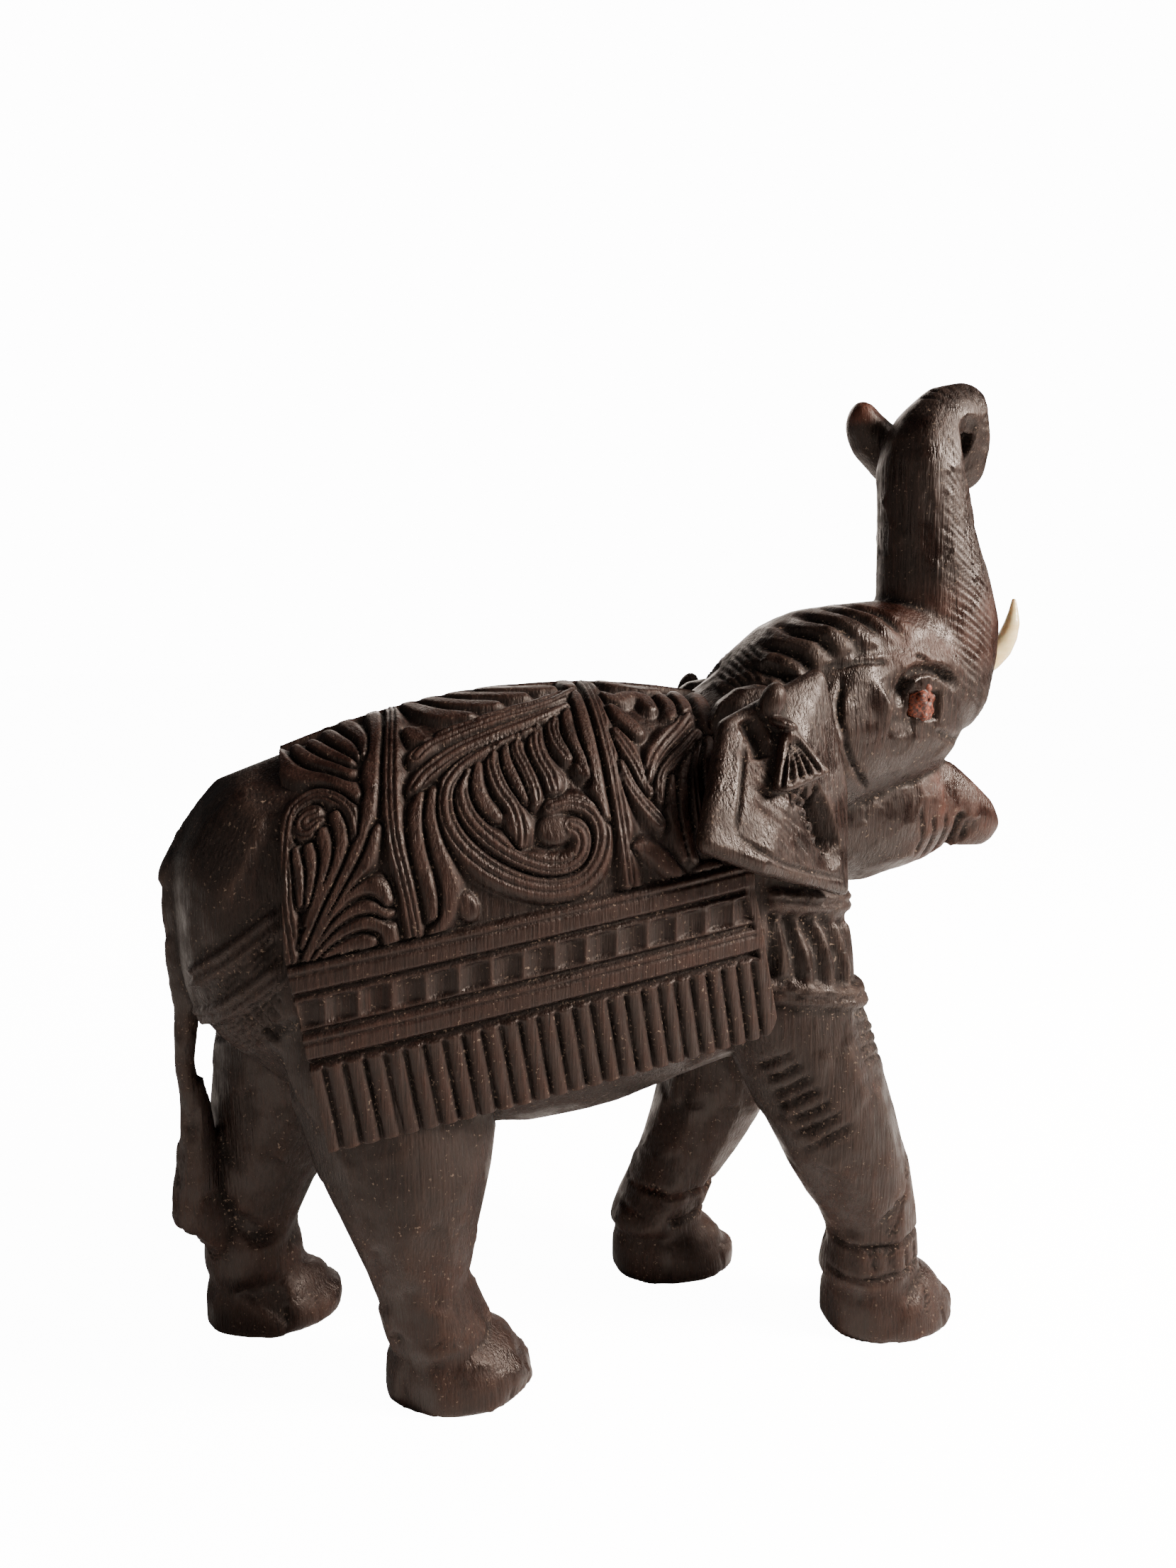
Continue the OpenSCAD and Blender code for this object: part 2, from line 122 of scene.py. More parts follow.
class Form:
    """A carved surface: its points in mm, its normals, and the marks that the wood's finish reads: hollow
    (painted shade and dust), crest (wear and painted highlight) and wear.
    """

    def __init__(self, name, bm, voxel=None, smooth=6):
        mesh = bpy.data.meshes.new(name)
        bm.to_mesh(mesh)
        bm.free()
        self.ob = bpy.data.objects.new(name, mesh)
        bpy.context.scene.collection.objects.link(self.ob)
        if voxel:
            mod = self.ob.modifiers.new("remesh", "REMESH")
            mod.mode, mod.voxel_size, mod.adaptivity = "VOXEL", voxel, 0
            shown = self.ob.evaluated_get(bpy.context.evaluated_depsgraph_get())
            made = bpy.data.meshes.new_from_object(shown)
            self.ob.modifiers.clear()
            self.ob.data = made
            bpy.data.meshes.remove(mesh)
        mesh = self.ob.data
        n = len(mesh.vertices)
        self.co = np.empty(n * 3)
        mesh.vertices.foreach_get("co", self.co)
        self.co = self.co.reshape(-1, 3)
        edges = np.empty(len(mesh.edges) * 2, np.int32)
        mesh.edges.foreach_get("vertices", edges)
        self.edges = edges.reshape(-1, 2)
        self.links = np.maximum(np.bincount(edges, minlength=n), 1)[:, None]
        self.wear = np.zeros(n)
        self.tree = None
        self.relax(smooth)

    def mean(self, values):
        """The mean over each point's neighbours."""
        a, b = self.edges.T
        out = np.empty_like(values)
        for k in range(values.shape[1]):
            out[:, k] = np.bincount(a, values[b, k], len(values)) + np.bincount(b, values[a, k], len(values))
        return out / self.links

    def relax(self, rounds, keep=0.5):
        for _ in range(rounds):
            self.co = self.co * keep + self.mean(self.co) * (1 - keep)
        self.look()

    def look(self):
        mesh = self.ob.data
        mesh.vertices.foreach_set("co", self.co.ravel())
        mesh.update()
        self.n = np.empty(len(self.co) * 3)
        mesh.vertex_normals.foreach_get("vector", self.n)
        self.n = self.n.reshape(-1, 3)

    def snap(self, path):
        """The surface points nearest to a path's points."""
        if self.tree is None:
            self.tree = KDTree(len(self.co))
            for i, p in enumerate(self.co.tolist()):
                self.tree.insert(p, i)
            self.tree.balance()
        found = self.co[[self.tree.find(p)[1] for p in path.tolist()]]
        for _ in range(3):
            found[1:-1] = (found[:-2] + 2 * found[1:-1] + found[2:]) / 4
        return found

    def stroke(self, points, width, depth, round_cut=False, taper=6, wear=0.0):
        """A gouge along a path on the surface, or a ridge where depth is negative."""
        path = self.snap(smooth_path(points, 0.8))
        low, high = path.min(0) - width, path.max(0) + width
        pick = np.flatnonzero(((self.co > low) & (self.co < high)).all(1))
        if not len(pick):
            return
        d, share = near(self.co[pick], path)
        x = np.clip(1 - d / (width / 2), 0, 1)
        cut = np.sqrt(1 - (1 - x) ** 2) if round_cut else x
        fade = np.clip(np.minimum(share, 1 - share) * taper + 0.25, 0, 1)
        self.co[pick] -= self.n[pick] * (depth * cut * fade)[:, None]
        self.wear[pick] = np.maximum(self.wear[pick], wear * x)

    def push(self, height, where=None):
        height = height if where is None else height * where
        self.co += self.n * height[:, None]

    def facets(self, size, strength, seed, where=None):
        """Flat cuts of a knife, about size mm across, blended into the form."""
        rng = np.random.default_rng(seed)
        area = (np.ptp(self.co, axis=0) ** 2).sum()
        count = int(min(900, max(20, area / size**2 * 1.1)))
        chosen = rng.choice(len(self.co), count, replace=False)
        seeds, seed_n = self.co[chosen], self.n[chosen]
        which = np.empty(len(self.co), int)
        for low in range(0, len(self.co), 8000):
            rows = slice(low, low + 8000)
            far = (seeds**2).sum(1) - 2 * self.co[rows] @ seeds.T - self.n[rows] @ seed_n.T * size**2
            which[rows] = far.argmin(1)
        off = ((self.co - seeds[which]) * seed_n[which]).sum(1)
        off = np.clip(off, -size * 0.12, size * 0.12) * strength
        if where is not None:
            off = off * where
        self.co -= seed_n[which] * off[:, None]

    def finish(self, material, node, slot, flat_at_floor=False):
        """Writes the marks, scales the mesh to metres and rides it on the body."""
        if flat_at_floor:
            self.co[:, 2] = np.maximum(self.co[:, 2], 0)
        self.look()
        # hollow and crest measure how concave and convex the surface is; the wood's material paints shade and
        # dust in the hollows, and a lighter brown on the crests that is partly wear, partly painted highlight
        curve = ((self.mean(self.co) - self.co) * self.n).sum(1)[:, None]
        for _ in range(2):
            curve = self.mean(curve)
        near_curve = curve[:, 0]
        for _ in range(8):
            curve = self.mean(curve)
        spread = np.percentile(np.abs(near_curve), 92) + 1e-6
        hollow = np.clip(near_curve / spread, 0, 1) * 0.7 + np.clip(curve[:, 0] / spread, 0, 1) * 0.6
        crest = np.clip(-near_curve / spread, 0, 1)
        mesh = self.ob.data
        for label, values in (("hollow", hollow), ("crest", crest), ("wear", self.wear)):
            mark = mesh.attributes.new(label, "FLOAT", "POINT")
            mark.data.foreach_set("value", np.clip(values, 0, 1).astype(np.float32))
        mesh.transform(Matrix.Scale(MM, 4))
        mesh.shade_smooth()
        mesh.materials.clear()
        mesh.materials.append(material)
        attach(self.ob, "root")
        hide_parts(node)
        return self.ob


# ---------------------------------------------------------------- finishes
def linear(hex_code):
    """An sRGB hex colour as linear RGBA."""
    parts = [int(hex_code[i : i + 2], 16) / 255 for i in (1, 3, 5)]
    return [c / 12.92 if c <= 0.04045 else ((c + 0.055) / 1.055) ** 2.4 for c in parts] + [1.0]


def add(tree, kind, settings=None, links=None, out=0):
    """Adds a shader node with its settings and links, and gives one of its outputs."""
    made = tree.nodes.new(kind)
    for key, value in (settings or {}).items():
        if isinstance(key, str) and hasattr(made, key):
            setattr(made, key, value)
        else:
            made.inputs[key].default_value = value
    for key, source in (links or {}).items():
        tree.links.new(source, made.inputs[key])
    return made.outputs[out] if made.outputs else None


def blank(name):
    material = bpy.data.materials.new(name)
    material.use_nodes = True
    material.node_tree.nodes.clear()
    return material, material.node_tree


def stained_hardwood(name, dark, light, worn, dust, gloss=0.36):
    """Hardwood with a dark spirit stain, carved by gouge and rubbed with wax, with painted shade that makes
    it near black in the cuts, red-brown where hands have worn it, lighter brown on the crests (partly wear,
    partly painted highlight), with pale dust in the recesses and a satin sheen."""
    material, tree = blank(name)
    place = add(tree, "ShaderNodeTexCoord", out="Object")
    # fibres 0.6 mm across and 9 mm long, standing up, and open pores 0.25 mm across and 4 mm long
    fibre_place = add(tree, "ShaderNodeMapping", {"Scale": (1700, 1700, 110)}, {"Vector": place})
    fibre = add(
        tree, "ShaderNodeTexNoise", {"Scale": 1.0, "Detail": 4.0, "Roughness": 0.6}, {"Vector": fibre_place},
    )
    pore_place = add(tree, "ShaderNodeMapping", {"Scale": (3600, 3600, 230)}, {"Vector": place})
    pore = add(tree, "ShaderNodeTexNoise", {"Scale": 1.0, "Detail": 2.0}, {"Vector": pore_place})
    # stain blotches of about 14 mm, rubbed marks of about 4 mm, and dust grains of about 0.5 mm
    blotch = add(tree, "ShaderNodeTexNoise", {"Scale": 70.0, "Detail": 3.0}, {"Vector": place})
    rub = add(tree, "ShaderNodeTexNoise", {"Scale": 240.0, "Detail": 4.0}, {"Vector": place})
    grain = add(tree, "ShaderNodeTexNoise", {"Scale": 2000.0, "Detail": 2.0}, {"Vector": place})
    hollow, crest, rubbed = (
        add(tree, "ShaderNodeAttribute", {"attribute_name": mark}, out="Fac")
        for mark in ("hollow", "crest", "wear")
    )
    # each layer: the patterns that mask it, as source, low, high and strength, and its colour
    base = add(tree, "ShaderNodeRGB")
    base.default_value = dark
    for patterns, colour in (
        ([(fibre, 0.35, 0.68, 1.0)], light),
        ([(blotch, 0.4, 0.75, 0.55)], linear("#1c0f0b")),
        ([(fibre, 0.5, 0.75, 0.5), (blotch, 0.45, 0.65, 1.0)], linear("#38201a")),
        # lighter brown on the crests where rubbed: partly worn stain, partly painted highlight
        ([(crest, 0.1, 1.0, 0.7), (rub, 0.35, 0.7, 1.0)], linear("#30221b")),
        ([(rubbed, 0.0, 1.0, 1.0), (rub, 0.25, 0.65, 1.0)], worn),
        # painted shade: near black where the surface is hollow, so the cuts and recesses look shaded
        ([(hollow, 0.1, 0.8, 0.85)], linear("#060403")),
        ([(pore, 0.6, 0.7, 0.8)], linear("#0a0706")),
        ([(hollow, 0.1, 0.7, 1.0), (grain, 0.6, 0.7, 0.6)], dust),
        ([(grain, 0.65, 0.71, 0.6), (rub, 0.45, 0.6, 1.0)], dust),
    ):
        mask = None
        for source, low, high, most in patterns:
            limits = {"From Min": low, "From Max": high, "To Max": most}
            part = add(tree, "ShaderNodeMapRange", limits, {"Value": source})
            if mask:
                part = add(tree, "ShaderNodeMath", {"operation": "MULTIPLY"}, {0: mask, 1: part})
            mask = part
        base = add(tree, "ShaderNodeMix", {"data_type": "RGBA", 7: colour}, {0: mask, 6: base}, 2)
    # wax lies in patches, so the sheen comes and goes; the cuts are dry
    rough = None
    for source, low, high, least, most in (
        (rub, 0.38, 0.62, gloss - 0.08, gloss + 0.2), (fibre, 0.3, 0.7, 0, 0.12), (hollow, 0, 1, 0, 0.35),
    ):
        limits = {"From Min": low, "From Max": high, "To Min": least, "To Max": most}
        part = add(tree, "ShaderNodeMapRange", limits, {"Value": source})
        if rough:
            part = add(tree, "ShaderNodeMath", {"operation": "ADD"}, {0: rough, 1: part})
        rough = part
    bump = None
    for source, strength, height, inward in (
        (fibre, 0.8, 0.0002, False), (pore, 0.7, 0.00015, True), (rub, 0.45, 0.0004, False),
    ):
        settings = {"Strength": strength, "Distance": height, "invert": inward}
        links = {"Height": source, "Normal": bump} if bump else {"Height": source}
        bump = add(tree, "ShaderNodeBump", settings, links)
    shader = add(
        tree, "ShaderNodeBsdfPrincipled",
        {"IOR": 1.45, "Specular IOR Level": 0.42, "Specular Tint": linear("#fff2ea")},
        {"Base Color": base, "Roughness": rough, "Normal": bump},
    )
    add(tree, "ShaderNodeOutputMaterial", links={"Surface": shader})
    return material


def polished_cream(name, cream):
    """Polished cream tusk: pale and warm, a little translucent, with faint lengthwise streaks."""
    material, tree = blank(name)
    place = add(tree, "ShaderNodeTexCoord", out="Object")
    # streaks 1.4 mm across and 11 mm long
    lengthwise = add(tree, "ShaderNodeMapping", {"Scale": (90, 700, 700)}, {"Vector": place})
    streak = add(tree, "ShaderNodeTexNoise", {"Scale": 1.0, "Detail": 3.0}, {"Vector": lengthwise})
    mask = add(tree, "ShaderNodeMapRange", {"From Min": 0.35, "From Max": 0.7}, {"Value": streak})
    base = add(tree, "ShaderNodeMix", {"data_type": "RGBA", 6: cream, 7: linear("#d9bf82")}, {0: mask}, 2)
    rough = add(tree, "ShaderNodeMapRange", {"To Min": 0.16, "To Max": 0.36}, {"Value": streak})
    bump = add(tree, "ShaderNodeBump", {"Strength": 0.15, "Distance": 0.0001}, {"Height": streak})
    shader = add(
        tree, "ShaderNodeBsdfPrincipled",
        {"IOR": 1.54, "Subsurface Weight": 0.15, "Subsurface Scale": 0.002, "Coat Weight": 0.3},
        {"Base Color": base, "Roughness": rough, "Normal": bump},
    )
    add(tree, "ShaderNodeOutputMaterial", links={"Surface": shader})
    return material


def raw_filler(name, amber, pale):
    """Red-brown glue and wood dust pressed into a seat: lumpy, matt, with paler grains of about 0.4 mm."""
    material, tree = blank(name)
    place = add(tree, "ShaderNodeTexCoord", out="Object")
    crumbs = add(tree, "ShaderNodeTexNoise", {"Scale": 2400.0, "Detail": 3.0}, {"Vector": place})
    mask = add(tree, "ShaderNodeMapRange", {"From Min": 0.4, "From Max": 0.65}, {"Value": crumbs})
    base = add(tree, "ShaderNodeMix", {"data_type": "RGBA", 6: amber, 7: pale}, {0: mask}, 2)
    rough = add(tree, "ShaderNodeMapRange", {"To Min": 0.3, "To Max": 0.8}, {"Value": crumbs})
    bump = add(tree, "ShaderNodeBump", {"Strength": 0.6, "Distance": 0.0002}, {"Height": crumbs})
    shader = add(
        tree, "ShaderNodeBsdfPrincipled", {"IOR": 1.48},
        {"Base Color": base, "Roughness": rough, "Normal": bump},
    )
    add(tree, "ShaderNodeOutputMaterial", links={"Surface": shader})
    return material


def drawn_wire(name):
    """Drawn steel wire: grey metal with fine draw marks of about 0.2 mm."""
    material, tree = blank(name)
    place = add(tree, "ShaderNodeTexCoord", out="Object")
    marks = add(tree, "ShaderNodeTexNoise", {"Scale": 5000.0, "Detail": 2.0}, {"Vector": place})
    mask = add(tree, "ShaderNodeMapRange", {"From Min": 0.3, "From Max": 0.7}, {"Value": marks})
    greys = {6: linear("#85837f"), 7: linear("#a8a6a0")}
    base = add(tree, "ShaderNodeMix", {"data_type": "RGBA", **greys}, {0: mask}, 2)
    rough = add(tree, "ShaderNodeMapRange", {"To Min": 0.25, "To Max": 0.55}, {"Value": marks})
    shader = add(
        tree, "ShaderNodeBsdfPrincipled", {"Metallic": 1.0}, {"Base Color": base, "Roughness": rough},
    )
    add(tree, "ShaderNodeOutputMaterial", links={"Surface": shader})
    return material


def wood_of(context, name, gloss=0.36):
    s = context.scene.elephant
    colours = [[*colour, 1] for colour in (s.wood_dark, s.wood_light, s.wood_worn, s.dust)]
    return stained_hardwood(name, *colours, gloss)


# ---------------------------------------------------------------- saddle cloth
# ridges of the carving: width, and places (x, v) on the cloth in mm, with v down from the spine
RIDGES = [
    # the rear ribbon, and the long leaf that runs off it to the rear corner
    (1.3, [(-38.6, -1), (-39, 6), (-39.6, 13), (-40.1, 20), (-40, 26), (-39.2, 31), (-38.3, 36),
           (-37.7, 40.6)]),
    (1.2, [(-41.2, -1), (-41.4, 7), (-42.3, 14), (-42.8, 19), (-44.2, 24.5), (-47, 29.5), (-50.3, 34.5),
           (-52.6, 38.6)]),
    (0.9, [(-42.3, 24.5), (-43.8, 28), (-46.8, 31.5), (-49.5, 34.5), (-52.2, 38.4)]),
    # leaf scroll with its curl, in the rear panel
    (1.3, [(-53.2, 37), (-54, 30), (-54, 24), (-53.2, 17.5), (-51.5, 16), (-49.5, 16), (-47.3, 17.8),
           (-45.6, 20.5), (-45, 24)]),
    (1.6, [(-50.2, 18.2), (-51.2, 18), (-52.2, 18.8), (-52.2, 20.2), (-51, 21), (-49.8, 20.4)]),
    (1.0, [(-53, 22.5), (-52.4, 26), (-52.2, 30)]),
    (1.0, [(-51.2, 23), (-50.8, 26), (-51.4, 30.5)]),
    (1.1, [(-49.4, 21.5), (-48.8, 25), (-49.8, 29), (-51.6, 33)]),
    (1.2, [(-47.4, 20), (-46.8, 23.5), (-47.6, 27), (-50, 31), (-52.2, 35.5)]),
    # small scroll at the top of the rear panel
    (1.1, [(-55, 3), (-53.6, 8.5), (-51.6, 11.5), (-48.5, 14), (-46, 16.5), (-44.6, 18.5)]),
    (1.0, [(-52.6, 4), (-51.4, 7), (-49.6, 10), (-47.4, 12.4), (-45.4, 14.6)]),
    (1.0, [(-50.4, 4.5), (-49, 7.5), (-47.2, 10.3), (-45.2, 12.6)]),
    (1.0, [(-48, 3), (-46.8, 6.4), (-45.2, 9.4), (-44, 12)]),
    (1.1, [(-45.6, 1), (-44.6, 5), (-43.4, 8.5), (-43.4, 12)]),
    # fan from the rear corner
    (1.0, [(-51.8, 38.8), (-49, 36.7), (-46, 36), (-43.4, 36.4), (-41.6, 38), (-40.9, 40.4)]),
    (0.8, [(-51.4, 38.9), (-48.5, 38.1), (-45.5, 38.1), (-43.4, 38.9)]),
    (0.9, [(-50.4, 36.6), (-48, 34.6), (-45.4, 34), (-43, 34.6), (-41.4, 36.2)]),
    (1.0, [(-49, 34), (-46.6, 32), (-44.2, 31.4), (-42.2, 32.6), (-41.4, 34.6)]),
    # lobes between the ribbon and the great scroll
    (1.1, [(-36.4, 21.6), (-37, 25), (-36.9, 29), (-36.2, 33), (-35.6, 36.5), (-35.3, 38.4)]),
    (1.2, [(-34.6, 21.6), (-35.1, 25), (-34.6, 29), (-33.7, 32.6), (-33.2, 36), (-33.8, 38.8),
           (-35.2, 40.5)]),
    # fans near the spine
    (1.2, [(-36.6, 1), (-34.8, 5), (-32.2, 8), (-28.6, 9.8)]),
    (1.1, [(-33.6, 0.5), (-31.6, 3.8), (-28.6, 6.4), (-24.6, 8)]),
    (1.1, [(-30, 0.4), (-27.6, 3), (-24.2, 5), (-20.2, 6.2)]),
    (1.1, [(-25.6, 0.3), (-23, 2.2), (-19.6, 3.8), (-15.6, 4.6)]),
    (1.2, [(-37.2, 10), (-35.4, 12.6), (-33.4, 13.4)]),
    # great scroll
    (2.1, [(-12.6, 5.5), (-15.5, 8), (-19, 9.8), (-23, 10.8), (-27, 11.8), (-31, 12.8), (-34.5, 13.8),
           (-36.4, 15.4)]),
    (2.2, [(-14.5, 10), (-18, 12), (-22, 13.6), (-26, 14.8), (-30, 16), (-33, 17.4), (-35.4, 18.8),
           (-36.8, 20.4)]),
    (2.0, [(-20, 14.6), (-24, 16), (-28, 17.6), (-31, 19.4), (-32.8, 22), (-33, 25.5), (-31.8, 29),
           (-29.4, 32.3), (-26.4, 35), (-23, 37), (-19.4, 38), (-16, 37.6), (-13.6, 35.8), (-12.2, 33),
           (-12, 30.2), (-13, 28), (-14.8, 26.8), (-17, 26.5), (-19, 27)]),
    (1.9, [(-29.6, 19.8), (-30.8, 22.4), (-30.4, 25.6), (-28.6, 28.8), (-26, 31.6), (-23, 33.8),
           (-19.8, 35.2), (-17, 35.2), (-15.2, 34), (-14.6, 32), (-15.2, 30.4), (-16.4, 29.8)]),
    # flame leaves that hang from it
    (1.2, [(-28.3, 19), (-28.7, 22), (-28.1, 24.8), (-26.6, 27.2)]),
    (1.6, [(-25.8, 16.8), (-26.2, 20), (-25.4, 23.4), (-24, 26), (-23.3, 29), (-23.4, 31.8)]),
    (1.0, [(-24.2, 16.4), (-24.3, 19.4), (-23.4, 22.6), (-22.4, 25.4)]),
    (1.3, [(-22.2, 15.2), (-22.8, 17.8), (-22, 20.6), (-21.2, 23.6), (-20.9, 26)]),
    (1.5, [(-19.4, 14), (-20, 16.8), (-19.7, 19.6), (-18.7, 22.2), (-18.2, 24.6)]),
    (1.3, [(-16.6, 12.6), (-17.2, 15), (-16.7, 17.6), (-15.6, 19.6)]),
    (1.1, [(-14.6, 11), (-15, 14), (-14.6, 17.4), (-13.8, 20), (-13.2, 22.8)]),
    # the front ribbon
    (1.2, [(-12.6, -1), (-12.6, 8), (-12.5, 14), (-12.3, 20), (-12, 25), (-11.4, 29)]),
    (1.3, [(-9.8, -1), (-9.9, 8), (-9.8, 15), (-9.4, 22), (-9, 29), (-8.5, 35), (-8.2, 38)]),
    # leaves of the front panel
    (1.5, [(-8.4, 15.5), (-7, 18.5), (-5.8, 21.5), (-4.6, 25)]),
    (1.3, [(-8.3, 21), (-7.4, 24), (-5.6, 26.8), (-3.4, 29.4)]),
    (1.8, [(4, 10.5), (1.6, 14), (-1, 17), (-3.2, 20), (-4.6, 23.4)]),
    (1.3, [(4.6, 14.4), (2, 17.6), (-0.4, 20), (-2.4, 22.6), (-3, 26)]),
    (1.2, [(2.4, 18.5), (1, 22), (0.2, 26), (0.2, 30), (0.8, 34)]),
    (1.4, [(4.4, 16.5), (3.2, 20), (2.8, 24), (2.8, 28), (3.2, 32)]),
    (1.2, [(6.2, 15), (5, 19), (4.6, 24), (4.8, 29)]),
    (1.2, [(-1, 22.6), (-1.4, 26), (-1, 30), (-0.2, 34)]),
    (1.1, [(-7.6, 33), (-5.6, 33.4), (-3.6, 34.6), (-1.6, 36)]),
    (1.0, [(-8.4, 7), (-6.6, 8.6), (-5.2, 7.4), (-3.6, 6.6), (-2, 7.6), (-1.6, 9.8)]),
    (1.0, [(-7.8, 10.5), (-6.6, 13), (-5, 15.4)]),
    (1.0, [(0.6, 6.4), (1.6, 9), (1, 12)]),
    (1.2, [(3.4, 5), (4, 8), (3.4, 10.5)]),
    (1.1, [(-7, 0.5), (-5.4, 3), (-2.6, 4.6), (0.6, 4.4)]),
    (1.0, [(7.2, 4), (6.8, 9), (6.6, 14)]),
]
# raised flat shapes: (x, v, half-length, half-width, turn in degrees)
PADS = [
    (-30.9, 38.4, 2.6, 1.5, 65), (-18.6, 30.2, 2.7, 2.4, 0), (-46.5, 6.2, 1.2, 0.7, 60),
    (3.4, 35.2, 2.6, 1.1, -20), (7.6, 34.6, 1.6, 1.0, -15), (-24.2, 29, 2.6, 1.2, 65),
    (-14.2, 22, 1.6, 0.9, 60),
]
# the hem bows down by HEM_BOW (x - HEM_MID)^2; the border starts and ends at these distances down the cloth
HEM_BOW, HEM_MID = 0.0057, -28
HEM_END, BORDER = 67.6, 41.0
DRAPE = 33.0


def hem(x, v):
    """Distance down the cloth, measured so that the bowed hem is a level line."""
    return v + HEM_BOW * (x - HEM_MID) ** 2


def cloth_relief(x, v, deep):
    """Height of the carving above the cloth's plain surface, in mm."""
    at = np.c_[x, v]
    first, second, vein = np.full(len(x), 9.0), np.full(len(x), 9.0), np.full(len(x), 9.0)
    for width, points in RIDGES:
        path = smooth_path(points, 0.6)
        pick = np.flatnonzero(((at > path.min(0) - 4.5) & (at < path.max(0) + 4.5)).all(1))
        if not len(pick):
            continue
        d, share = near(at[pick], path)
        if width > 1.25:
            vein[pick] = np.minimum(vein[pick], np.abs(d - 0.26 * width))
        d = d - 0.32 * width * (0.5 + 0.5 * np.clip(np.minimum(share, 1 - share) * 6, 0, 1))
        one, two = first[pick], second[pick]
        second[pick] = np.minimum(np.maximum(one, d), two)
        first[pick] = np.minimum(one, d)
    # each leaf is rounded from its crest down to the gouge midway to its neighbour
    crest, edge = np.maximum(first, 0), np.maximum(second, 0)
    share = np.clip(2 * crest / np.maximum(crest + edge, 0.3), 0, 1)
    leaf = np.clip(1 - share**2.6, 0, 1) * np.clip(1.15 - (crest / 1.7) ** 2, 0, 1) ** 0.7
    height = -deep + (deep + 0.12) * leaf
    # two finer lines along each of the broader leaves
    height -= 0.38 * np.clip(1 - vein / 0.26, 0, 1)
    for px, pv, a, b, turn in PADS:
        c, s = math.cos(math.radians(turn)), math.sin(math.radians(turn))
        r = np.hypot(((x - px) * c + (v - pv) * s) / a, (-(x - px) * s + (v - pv) * c) / b)
        height = np.maximum(height, -deep + deep * np.sqrt(np.clip(1 - r**4, 0, 1)))
    t = hem(x, v)
    band = np.zeros(len(x))
    for centre, width, depth in (
        (41.0, 1.6, 1.2), (42.6, 0.6, 0.35), (45.4, 1.2, 1.0), (50.6, 1.3, 1.0), (52.0, 0.6, 0.35),
        (54.9, 1.6, 1.3),
    ):
        band -= depth * np.clip(1 - np.abs(t - centre) / (width / 2), 0, 1)
    scoop = np.clip(1 - (np.mod((x + 54) / 4.35, 1) * 2 - 1) ** 2, 0, 1)
    rows = np.clip((t - 45.9) / 0.7, 0, 1) * np.clip((50.1 - t) / 0.7, 0, 1)
    band -= 0.85 * scoop * rows
    phase = np.abs(np.mod((x + 50.8 - 0.17 * (v - 56)) / 2.55, 1) * 2 - 1)
    flute = 1 - np.sqrt(np.clip(1 - (1 - phase) ** 2.4, 0, 1))
    band -= (0.05 + 1.35 * flute) * np.clip((t - 55.4) / 0.8, 0, 1)
    return np.where(t < BORDER, height, band)


def cloth_place(x, v):
    """Points of the cloth's plain surface on the left side: an ellipse over the back, then straight down."""
    top = 103.2 - (x + 11) ** 2 / 213
    wide = 23.6 - 0.002 * (x + 22) ** 2
    turns = np.linspace(0, math.pi / 2, 120)
    y = wide[:, None] * np.sin(turns)
    z = DRAPE * (np.cos(turns) - 1)
    run = np.hypot(np.diff(y, axis=1), np.diff(z)[None])
    run = np.c_[np.zeros(len(x)), np.cumsum(run, axis=1)]
    total = run[:, -1]
    index = np.clip((run < np.minimum(v, total - 1e-6)[:, None]).sum(1) - 1, 0, 118)
    rows = np.arange(len(x))
    a, b = run[rows, index], run[rows, index + 1]
    t = np.clip((np.minimum(v, total) - a) / (b - a), 0, 1)
    py = y[rows, index] * (1 - t) + y[rows, index + 1] * t
    pz = z[index] * (1 - t) + z[index + 1] * t - np.maximum(v - total, 0)
    return np.c_[x, py, top + pz]


def cloth_panel(name, side, across, down, deep):
    bm = bmesh.new()
    bmesh.ops.create_grid(bm, x_segments=across, y_segments=down, size=1)
    form = Form(name, bm, smooth=0)
    a, b = (form.co[:, 0] + 1) / 2, (1 - form.co[:, 1]) / 2
    x, v = -55 + 68 * a, 60 * b
    for _ in range(6):
        corner = np.clip((a - 0.96) / 0.04, 0, 1)
        v = b * (HEM_END - HEM_BOW * (x - HEM_MID) ** 2 - 2.4 * corner**2)
        rear = -54.6 + 0.17 * np.maximum(v - 36, 0)
        front = 10.4 + 0.215 * np.maximum(v - 37, 0)
        x = rear + a * (front - rear)
    form.co = cloth_place(x, v)
    form.look()
    flip = 1 if (form.n[:, 1] * form.co[:, 1]).mean() > 0 else -1
    form.n *= flip
    height = cloth_relief(x, v, deep)
    # the spine's edge stays put, so the two panels meet
    height *= ease(v, 0.0, 0.6)
    # a raised strip along the front edge
    height = np.where((front - x < 1.3) & (v > 34), np.maximum(height, -0.1), height)
    form.push(height)
    form.co[:, 1] *= side
    if (flip < 0) != (side < 0):
        form.ob.data.flip_normals()
    form.look()
    form.wear = np.clip((height + 0.35) / 0.5, 0, 1) * 0.12
    return form


